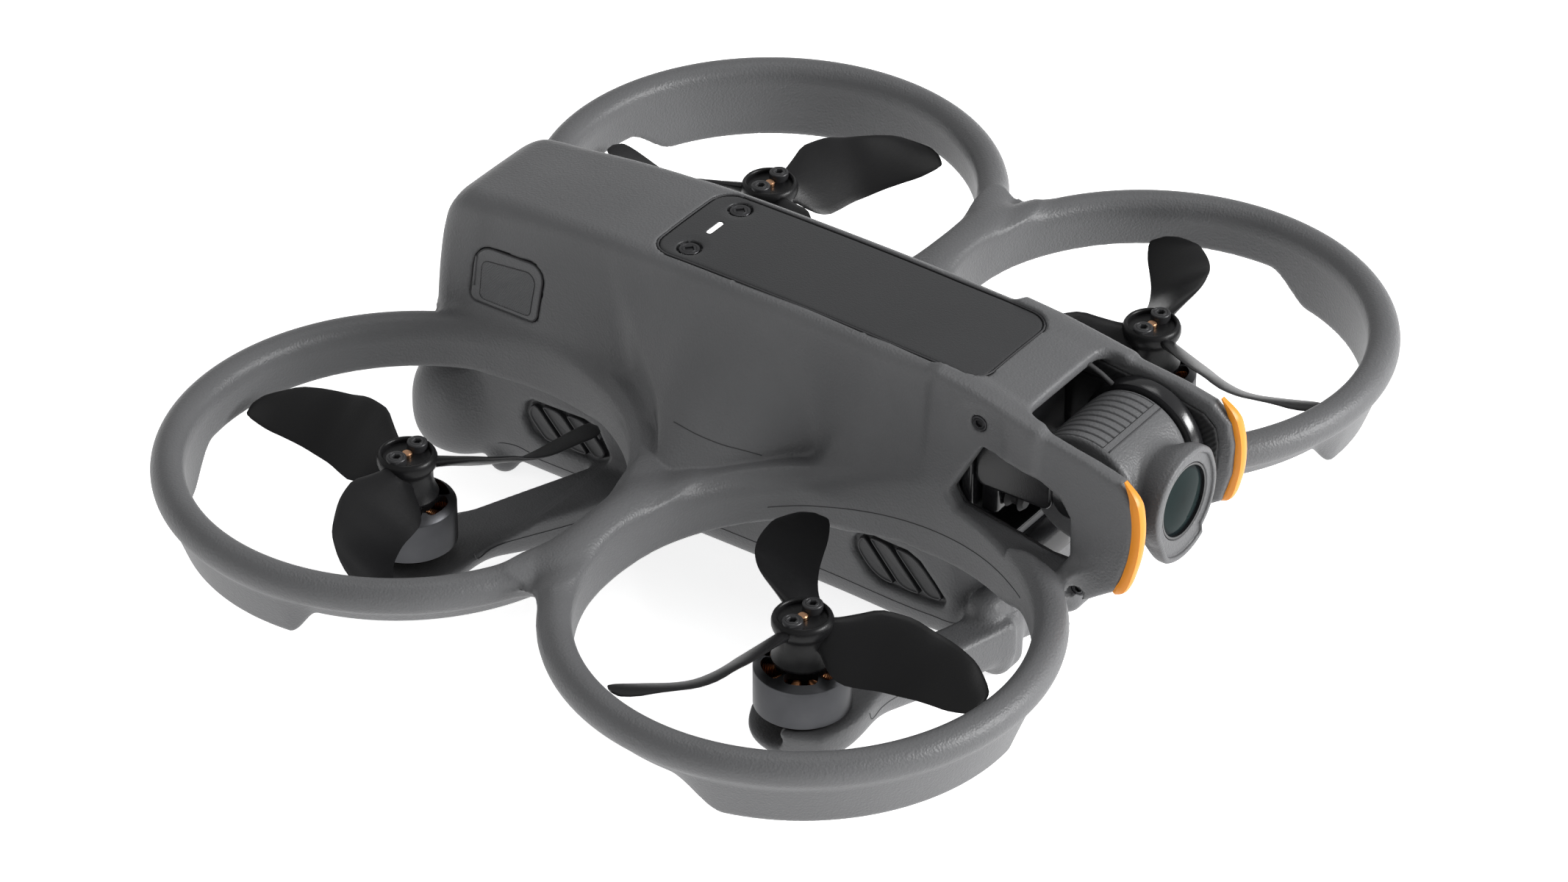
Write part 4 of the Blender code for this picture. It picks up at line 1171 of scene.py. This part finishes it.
LENS_SECTION = (
    # share of the chord, lift in units of the thickness
    (0.0, 0.0), (0.02, 0.16), (0.08, 0.32), (0.2, 0.48), (0.36, 0.55), (0.55, 0.5), (0.75, 0.34), (0.9, 0.17),
    (0.98, 0.07), (1.0, 0.0), (0.98, -0.06), (0.88, -0.14), (0.7, -0.26), (0.45, -0.38), (0.22, -0.36),
    (0.08, -0.24), (0.02, -0.12),
)


def make_blade(name, angle, spin):
    """One scimitar blade: thin lens sections twisted to the pitch, turned to its place on the hub."""
    columns = list(zip(*BLADE_SHAPE))
    radii = np.r_[np.linspace(2.0, 36.0, 22), 36.7, 37.2, 37.6, 37.85, 38.0]
    rings = []
    turn = Matrix.Rotation(math.radians(angle), 3, "Z")
    for r in radii:
        low, high, pitch, height, thick = (
            float(curve_through(tuple(zip(columns[0], column)), r)) for column in columns[1:])
        tilt = math.radians(pitch)
        chord = (high - low) / math.cos(tilt)
        ring = []
        for share, lift in LENS_SECTION:
            along = low / math.cos(tilt) + chord * (1 - share)
            up = lift * thick
            across = along * math.cos(tilt) - up * math.sin(tilt)
            z = height + along * math.sin(tilt) + up * math.cos(tilt)
            ring.append(tuple(turn @ Vector((r, spin * across, z))))
        rings.append(ring)
    return loft(name, rings, angle=60)


def rotor_place(side, end):
    return Vector((side * MOTOR_X, end * MOTOR_Y, 0)) * MM


def make_propeller(corner, side, end, material, shaft_material, screw_material):
    place = rotor_place(side, end)
    body = "rotor_" + corner
    top = HUB_TOP - 0.1
    foot = BELL_Z[1] + 0.25
    profile = [
        (1.1, foot), (5.6, foot), (5.75, foot + 0.55), (5.3, foot + 1.45), (NECK_R, 28.2),
        (NECK_R, top - 4.0), (5.1, top - 3.3), (5.5, top - 2.8), (HUB_R, top - 2.1), (HUB_R, top - 1.2),
        (HUB_R - 0.2, top - 0.6), (HUB_R - 0.5, top - 0.2), (HUB_R - 0.8, top - 0.1),
        (HUB_R - 1.0, top - 0.2), (HUB_R - 1.15, top - 0.5), (HUB_R - 1.2, top - 1.1), (1.1, top - 1.15),
    ]
    hub = turned("propeller_hub_" + corner, profile, steps=72)
    for i in range(3):
        combine(hub, "UNION", [make_blade("blade", BLADE_ANGLES[end] + 120 * i, SPIN[corner])])
    bpy.context.view_layer.update()
    dress(shade(hub, 38), material, body, ["propeller_" + corner], at=place)
    for label, across in SIDES:
        name = "prop_screw_%s_%s" % (label, corner)
        head = screw(name + "_head", 1.95, 1.9, 0.72, (across * HUB_SCREW_X, 0, top - 1.35), dome=0.35)
        dress(head, screw_material, body, [name], at=place)
    end_profile = [(0.05, top - 2.0), (1.0, top - 2.0), (1.0, top - 0.5), (0.8, top - 0.3), (0.05, top - 0.3)]
    shaft = turned("shaft_end_" + corner, end_profile, steps=32)
    return dress(shaft, shaft_material, body, at=place)


def make_motor(corner, side, end, bell_material, copper_material, core_material):
    place = rotor_place(side, end)
    low, high = BELL_Z
    profile = [
        (BELL_R - 0.8, low + 0.1), (BELL_R - 0.3, low), (BELL_R, low + 0.25), (BELL_R, high - 1.75),
        (BELL_R - 0.12, high - 1.5), (BELL_R - 1.9, high - 0.1), (BELL_R - 2.2, high), (5.6, high),
        (5.2, high - 0.25), (1.2, high - 0.25), (1.2, high - 1.3), (BELL_R - 1.6, high - 1.3),
        (BELL_R - 0.9, high - 2.2),
    ]
    bell = combine(turned("bell_" + corner, profile, steps=96), "DIFFERENCE",
                   [bell_window(60 * i + 15) for i in range(6)])
    dress(shade(bell, 35), bell_material, "rotor_" + corner, ["motor_bell_" + corner], at=place)
    for i in range(9):
        dress(make_coil("coil_%d_%s" % (i, corner), 40 * i), copper_material, at=place)
    core = [(1.7, 14.7), (8.4, 14.7), (8.6, 14.85), (5.0, 16.2), (3.6, 16.6), (3.2, 23.0), (1.7, 23.0)]
    base = turned("stator_core_" + corner, core, steps=64)
    dress(base, core_material, replaces=["stator_" + corner], at=place)


def bell_window(start):
    """Cutter for one arc-shaped opening in the top of a motor bell."""
    inner, outer, span = 5.1, 7.7, 34
    middle = (inner + outer) / 2
    half = (outer - inner) / 2
    stop = start + span
    begin, end = (arc((0, 0), middle, a, a, 1)[0] for a in (start, stop))
    points = arc((0, 0), outer, start, stop, 9) + arc(end, half, stop + 20, stop + 160, 7)
    points += arc((0, 0), inner, stop, start, 9) + arc(begin, half, start + 200, start + 340, 7)
    return loft("window", [[(x, y, z) for x, y in points] for z in (BELL_Z[1] - 2.4, BELL_Z[1] + 1)])


def make_coil(name, angle):
    """Copper wire wound round one stator tooth: rows of wire as ridges along the tooth."""
    turn = Matrix.Rotation(math.radians(angle), 3, "Z")
    rings = []
    for s in np.linspace(0, 1, 37):
        reach = 3.7 + 3.7 * s
        ridge = 0.16 * abs(math.sin(math.pi * 9 * s))
        wide = 0.75 + 0.55 * s + ridge
        tall = 2.2 + ridge
        rings.append([tuple(turn @ Vector((reach, wide * u, COIL_Z + tall * v)))
                      for u, v in squircle(20, 0.7)])
    return loft(name, rings, angle=30)


# ---------------------------------------------------------------- battery


def make_battery(shell_material, dark_material, light_material):
    """Pack with its latch groove, charge lights and power button at the rear end."""
    low, high = node_box("battery")
    button = (node_box("power_button")[0] + node_box("power_button")[1]) / 2

    inwards = Vector((0.4, -9, 0.4))

    def field(x, y, z):
        pack = box_field(x, y, z, low, high, 2.2)
        groove = np.hypot(z - 36.4, y - high.y) - 0.7
        pack = smooth_max(pack, -np.maximum(groove, x - 8.0), 0.4)
        well = np.maximum(np.hypot(x - button.x, z - button.z) - 4.25, high.y - 1.7 - y)
        pack = smooth_max(pack, -well, 0.4)
        edge = np.abs(y - high.y + 6.0) - 0.2
        inner = box_field(x, y, z, low + inwards, high - inwards, 2.0)
        return np.maximum(pack, -np.maximum(edge, -inner))

    margin = Vector((1, 1, 1))
    pack = field_mesh("battery_pack", field, low - margin, high + margin, cell_size(0.6))
    dress(pack, shell_material, "battery", ["battery"])
    back = node_box("power_button")[0].y
    end = high.y
    cap = [(0.05, back + 0.2), (3.9, back + 0.2), (3.9, end - 0.5), (3.6, end - 0.12), (3.2, end),
           (2.9, end - 0.05), (2.7, end - 0.35), (0.05, end - 0.45)]
    key = turned("button_cap", cap, (button.x, 0, button.z), "Y", 56)
    dress(key, dark_material, "power_button", ["power_button"])
    window = [(0.05, end - 0.4), (0.45, end - 0.4), (0.45, end - 0.02), (0.3, end + 0.05), (0.05, end + 0.05)]
    for i in range(4):
        light = turned("charge_light_%d" % i, window, (-3.6 + 2.4 * i, 0, 42.6), "Y", 24)
        dress(light, light_material, "battery")
    return pack


BOARD_THICK = 1.2
BOARD_PARTS = (
    # x, y, width, length, height
    (0.0, 0.0, 8.0, 8.0, 1.2), (-4.0, 18.0, 6.0, 5.0, 0.9), (4.5, 16.0, 3.0, 6.0, 1.4),
    (0.0, -18.0, 10.0, 6.0, 1.6), (-5.0, -28.0, 4.0, 4.0, 0.8), (5.0, 30.0, 5.0, 5.0, 1.0),
    (0.0, 38.0, 9.0, 4.0, 1.8),
)


def make_board(material):
    """Flight board inside the pod with its chips and sockets."""
    low, high = node_box("main_board")
    bm = bmesh.new()
    top = low.z + BOARD_THICK
    parts = [((low.x, low.y, low.z), (high.x, high.y, top))]
    for x, y, wide, long, tall in BOARD_PARTS:
        parts.append(((x - wide / 2, y - long / 2, top - 0.1), (x + wide / 2, y + long / 2, top + tall)))
    for a, b in parts:
        b = (b[0], b[1], min(b[2], high.z))
        made = bmesh.ops.create_cube(bm, size=1.0)["verts"]
        size = [q - p for p, q in zip(a, b)]
        middle = [(p + q) / 2 for p, q in zip(a, b)]
        bmesh.ops.scale(bm, vec=size, verts=made)
        bmesh.ops.translate(bm, vec=middle, verts=made)
    board = bm_piece("flight_board", bm)
    bevel(board, 0.15, 2)
    return dress(board, material, replaces=["main_board"])


# ---------------------------------------------------------------- materials


def new_material(name, colour, roughness, metallic=0.0, specular=0.5):
    """Plain material, its node tree and its shader's inputs."""
    material = bpy.data.materials.new(name)
    material.use_nodes = True
    shader = material.node_tree.nodes["Principled BSDF"].inputs
    shader["Base Color"].default_value = (*colour, 1)
    shader["Roughness"].default_value = roughness
    shader["Metallic"].default_value = metallic
    shader["Specular IOR Level"].default_value = specular
    return material, material.node_tree, shader


def add_node(tree, kind, inputs, **settings):
    """New shader node; each input is a constant or a socket to link from."""
    node = tree.nodes.new("ShaderNode" + kind)
    for key, value in settings.items():
        setattr(node, key, value)
    for key, value in inputs.items():
        if isinstance(value, bpy.types.NodeSocket):
            tree.links.new(value, node.inputs[key])
        else:
            node.inputs[key].default_value = value
    return node


def place_node(tree, kind="Object"):
    return add_node(tree, "TexCoord", {}).outputs[kind]


def between(tree, value, low, high, target):
    """Spreads a 0 to 1 value over a range and sends it to a shader input."""
    spread = add_node(tree, "MapRange", {"Value": value, "To Min": low, "To Max": high})
    tree.links.new(spread.outputs["Result"], target)


def two_tones(tree, value, dark, light, target):
    ramp = add_node(tree, "ValToRGB", {"Fac": value})
    for element, place, colour in zip(ramp.color_ramp.elements, (0.3, 0.7), (dark, light)):
        element.position = place
        element.color = (*colour, 1)
    tree.links.new(ramp.outputs["Color"], target)


def noise_node(tree, place, scale, detail=3.0):
    return add_node(tree, "TexNoise", {"Vector": place, "Scale": scale, "Detail": detail}).outputs["Fac"]


def mapped_node(tree, place, **values):
    return add_node(tree, "Mapping", {"Vector": place, **values}).outputs["Vector"]


def bump_node(tree, height, depth, shader):
    bump = add_node(tree, "Bump", {"Height": height, "Strength": 1.0, "Distance": depth * MM})
    tree.links.new(bump.outputs["Normal"], shader["Normal"])


def sum_node(tree, first, second):
    return add_node(tree, "Math", {0: second, 1: 1.0, 2: first}, operation="MULTIPLY_ADD").outputs[0]


def stain(tree, place, scale, detail, colour, dark, light, shader):
    """Patches of a darker and a lighter shade of the colour."""
    tones = ([c * share for c in colour] for share in (dark, light))
    two_tones(tree, noise_node(tree, place, scale, detail), *tones, shader["Base Color"])


def grained(name, colour, roughness, cell=0.45, depth=0.05, spread=0.06, rough_spread=0.05, specular=0.5):
    """Moulded plastic: leathery grain of the given cell size and depth (mm), slight colour changes."""
    material, tree, shader = new_material(name, colour, roughness, 0.0, specular)
    place = place_node(tree)
    warp = noise_node(tree, place, 0.7 / (cell * MM), 2.0)
    values = {"Vector": place, "Scale": 1 / (cell * MM)}
    grain = add_node(tree, "TexVoronoi", values, feature="SMOOTH_F1")
    grain.inputs["Smoothness"].default_value = 0.6
    bump_node(tree, sum_node(tree, grain.outputs["Distance"], warp), depth, shader)
    stain(tree, place, 60.0, 4.0, colour, 1 - spread, 1 + spread, shader)
    between(tree, warp, roughness - rough_spread, roughness + rough_spread, shader["Roughness"])
    return material


def machined(name, colour, roughness, metallic=1.0):
    """Metal with fine tool marks, finer along one direction, and slight stains."""
    material, tree, shader = new_material(name, colour, roughness, metallic)
    place = place_node(tree)
    marks = noise_node(tree, mapped_node(tree, place, Scale=(1.0, 1.0, 14.0)), 420.0, 4.0)
    bump_node(tree, marks, 0.006, shader)
    stain(tree, place, 110.0, 5.0, colour, 0.86, 1.12, shader)
    between(tree, marks, roughness - 0.06, roughness + 0.08, shader["Roughness"])
    return material


def woven(name, colour, roughness, pitch):
    """Dark lining with a fine diagonal weave."""
    material, tree, shader = new_material(name, colour, roughness)
    place = place_node(tree)
    waves = []
    for direction in ("X", "Z"):
        turned_place = mapped_node(tree, place, Rotation=(math.radians(45), 0, 0))
        values = {"Vector": turned_place, "Scale": 0.31 / (pitch * MM), "Distortion": 0.6}
        waves.append(add_node(tree, "TexWave", values, bands_direction=direction).outputs["Fac"])
    both = sum_node(tree, *waves)
    bump_node(tree, both, 0.04, shader)
    stain(tree, place, 300.0, 3.0, colour, 0.8, 1.25, shader)
    between(tree, both, roughness - 0.06, roughness + 0.06, shader["Roughness"])
    return material


def wound_copper(name):
    """Enamelled wire: bright and dark turns with small flaws."""
    material, tree, shader = new_material(name, (0.42, 0.17, 0.075), 0.32, 1.0)
    place = place_node(tree)
    values = {"Vector": place, "Scale": 900.0, "Distortion": 2.0}
    turns = add_node(tree, "TexWave", values, bands_direction="Z").outputs["Fac"]
    flaws = noise_node(tree, place, 500.0, 4.0)
    two_tones(tree, flaws, (0.24, 0.09, 0.04), (0.55, 0.26, 0.12), shader["Base Color"])
    bump_node(tree, turns, 0.02, shader)
    between(tree, flaws, 0.22, 0.42, shader["Roughness"])
    return material


# distance from the lens middle, colour
GLASS_RINGS = ((0.0, (0.008, 0.0125, 0.0125)), (0.1, (0.009, 0.0145, 0.0145)), (0.3, (0.01, 0.0165, 0.0165)),
               (0.42, (0.012, 0.019, 0.019)), (0.46, (0.007, 0.01, 0.011)), (0.5, (0.006, 0.009, 0.01)))


def coated_glass(name):
    """Dark lens with a green-blue coating that changes towards the rim."""
    material, tree, shader = new_material(name, (0.02, 0.03, 0.03), 0.06)
    place = place_node(tree, "Generated")
    flat = mapped_node(tree, place, Scale=(1, 0, 1))
    centre = add_node(tree, "VectorMath", {0: flat, 1: (0.5, 0.0, 0.5)}, operation="DISTANCE")
    ramp = add_node(tree, "ValToRGB", {"Fac": centre.outputs["Value"]})
    stops = ramp.color_ramp.elements
    stops[1].position = GLASS_RINGS[-1][0]
    for position, _ in GLASS_RINGS[1:-1]:
        stops.new(position)
    for stop, (_, colour) in zip(stops, GLASS_RINGS):
        stop.color = (*colour, 1)
    tree.links.new(ramp.outputs["Color"], shader["Base Color"])
    shader["IOR"].default_value = 1.08
    between(tree, noise_node(tree, place, 9.0), 0.04, 0.1, shader["Roughness"])
    return material


def circuit(name):
    """Solder mask with traces and pads."""
    material, tree, shader = new_material(name, (0.01, 0.05, 0.03), 0.4)
    place = place_node(tree)
    bricks = add_node(tree, "TexBrick", {
        "Vector": place, "Scale": 340.0, "Mortar Size": 0.012, "Color1": (0.01, 0.06, 0.035, 1),
        "Color2": (0.015, 0.09, 0.05, 1), "Mortar": (0.35, 0.3, 0.12, 1)})
    tree.links.new(bricks.outputs["Color"], shader["Base Color"])
    bump_node(tree, bricks.outputs["Fac"], 0.03, shader)
    between(tree, noise_node(tree, place, 200.0), 0.3, 0.5, shader["Roughness"])
    return material


def lamp(name, colour, strength):
    material, tree, shader = new_material(name, colour, 0.25)
    mottle = noise_node(tree, place_node(tree), 700.0)
    shader["Emission Color"].default_value = (*colour, 1)
    between(tree, mottle, strength * 0.8, strength * 1.2, shader["Emission Strength"])
    bump_node(tree, mottle, 0.02, shader)
    return material


# ---------------------------------------------------------------- stage, light and camera

VIEW_AZIMUTH = -54.902
VIEW_ELEVATION = 34.145
VIEW_DISTANCE = 1136.8
VIEW_AIM = (0.0, 0.0, 34.5)
VIEW_OFFSET = (-0.25, -10.48)
LENS_MM = 138.38


def make_camera_view():
    a, e = math.radians(VIEW_AZIMUTH), math.radians(VIEW_ELEVATION)
    back = Vector((math.sin(a) * math.cos(e), -math.cos(a) * math.cos(e), math.sin(e)))
    right = Vector((math.cos(a), math.sin(a), 0))
    up = back.cross(right)
    data = bpy.data.cameras.new("view")
    data.lens = LENS_MM
    data.sensor_width = 36.0
    data.clip_start = 0.05
    data.clip_end = 20.0
    camera = link(data, "view")
    place = Vector(VIEW_AIM) + back * VIEW_DISTANCE + right * VIEW_OFFSET[0] + up * VIEW_OFFSET[1]
    camera.location = place * MM
    camera.rotation_euler = Matrix((right, up, back)).transposed().to_euler()
    bpy.context.scene.camera = camera


FLOOR_GLOW = 0.75
ZENITH_LIGHT = 0.4
HORIZON_LIGHT = 0.75
LIGHTS = (
    # name, place, size, power
    ("key_softbox", (0.5, -1.3, 0.64), (0.7, 0.5), 28.0),
    ("top_softbox", (0.3, 0.2, 1.5), (0.6, 0.6), 3.0),
)


def area_light(name, place, size, power):
    """Softbox that faces the middle of the drone."""
    data = bpy.data.lights.new(name, "AREA")
    data.shape = "RECTANGLE"
    data.size, data.size_y = size
    data.energy = power
    box = link(data, name)
    box.location = place
    box.rotation_euler = (Vector((0, 0, 0.03)) - Vector(place)).to_track_quat("-Z", "Y").to_euler()


def make_sky():
    """White surround, brighter towards the horizon than overhead."""
    world = bpy.data.worlds.new("studio")
    world.use_nodes = True
    tree = world.node_tree
    axes = add_node(tree, "SeparateXYZ", {0: place_node(tree, "Generated")})
    background = tree.nodes["Background"].inputs
    between(tree, axes.outputs["Z"], HORIZON_LIGHT, ZENITH_LIGHT, background["Strength"])
    background["Color"].default_value = (1, 1, 1, 1)
    bpy.context.scene.world = world


def make_studio():
    floor_material, _, shader = new_material("pale_floor", (0.9, 0.9, 0.9), 0.9, specular=0.05)
    shader["Emission Color"].default_value = (1, 1, 1, 1)
    shader["Emission Strength"].default_value = FLOOR_GLOW
    bm = bmesh.new()
    bmesh.ops.create_grid(bm, x_segments=1, y_segments=1, size=6.0)
    mesh = bpy.data.meshes.new("floor")
    bm.to_mesh(mesh)
    bm.free()
    floor = link(mesh, "floor")
    mesh.materials.append(floor_material)
    make_sky()
    for name, place, size, power in LIGHTS:
        area_light(name, place, size, power)


# ---------------------------------------------------------------- build

GREY = grained("grained_grey", (0.094, 0.095, 0.098), 0.46, cell=0.42, depth=0.06, specular=0.4)
PLATE = grained("charcoal_plate", (0.03, 0.0305, 0.032), 0.46, cell=0.3, depth=0.03, specular=0.3)
# near-black woven lining; on the guards' inner faces it is also painted shade
LINER_AND_SHADE = woven("woven_lining_and_shade", (0.012, 0.012, 0.013), 0.6, 0.9)
GRIP = grained("charcoal_grip", (0.074, 0.075, 0.078), 0.5, cell=0.25, depth=0.02)
RUBBER = grained("black_rubber", (0.02, 0.02, 0.021), 0.7, cell=0.35, depth=0.03)
GLOSS = grained("black_gloss", (0.012, 0.012, 0.013), 0.2, cell=0.25, depth=0.006, rough_spread=0.04)
DARK = grained("black_louvre", (0.022, 0.022, 0.024), 0.45, cell=0.3, depth=0.02)
PROPELLER = grained("satin_propeller", (0.007, 0.007, 0.0075), 0.36, cell=0.35, depth=0.008, specular=0.2)
ORANGE = grained("orange_bumper", (0.68, 0.235, 0.012), 0.4, cell=0.5, depth=0.004, spread=0.04, specular=0.4)
SEAM = grained("dark_seam", (0.03, 0.03, 0.032), 0.7, cell=0.3, depth=0.02)
BELL = machined("gunmetal_bell", (0.062, 0.063, 0.067), 0.38)
STEEL = machined("dark_screw", (0.06, 0.06, 0.063), 0.34)
HUB_STEEL = machined("black_cap_screw", (0.03, 0.03, 0.032), 0.36, metallic=0.4)
CORE = machined("stator_base", (0.08, 0.07, 0.06), 0.4)
COPPER = wound_copper("copper_winding")
SHAFT = machined("bronze_shaft", (0.5, 0.28, 0.16), 0.3)
GLASS = coated_glass("coated_lens")
BOARD = circuit("circuit_board")
LIGHT = lamp("white_light", (1.0, 1.0, 1.0), 1.6)
DIM_LIGHT = lamp("dim_light", (0.75, 0.8, 0.8), 0.2)

bpy.context.scene.view_settings.view_transform = "Standard"
make_camera_view()
make_studio()
make_upper_shell(GREY)
make_shell_seams(SEAM)
make_deck_plate(PLATE, SEAM)
make_screws(STEEL)
make_status_light(LIGHT)
for label, side in SIDES:
    make_release_pad(label, side, GREY, GRIP, SEAM)
    make_guard_liner_and_shade(label, side, LINER_AND_SHADE)
    make_strip(label, side, ORANGE)
    for vent in VENT_SHAPES:
        make_vent(vent, label, side, DARK, LINER_AND_SHADE)
make_lower_shell(GREY)
make_lower_seams(SEAM)
make_camera(GREY, GLOSS, GLASS, SEAM)
make_gimbal(GLOSS, RUBBER)
for corner, side, end in CORNERS:
    make_propeller(corner, side, end, PROPELLER, SHAFT, HUB_STEEL)
    make_motor(corner, side, end, BELL, COPPER, CORE)
make_battery(GREY, PLATE, DIM_LIGHT)
make_board(BOARD)
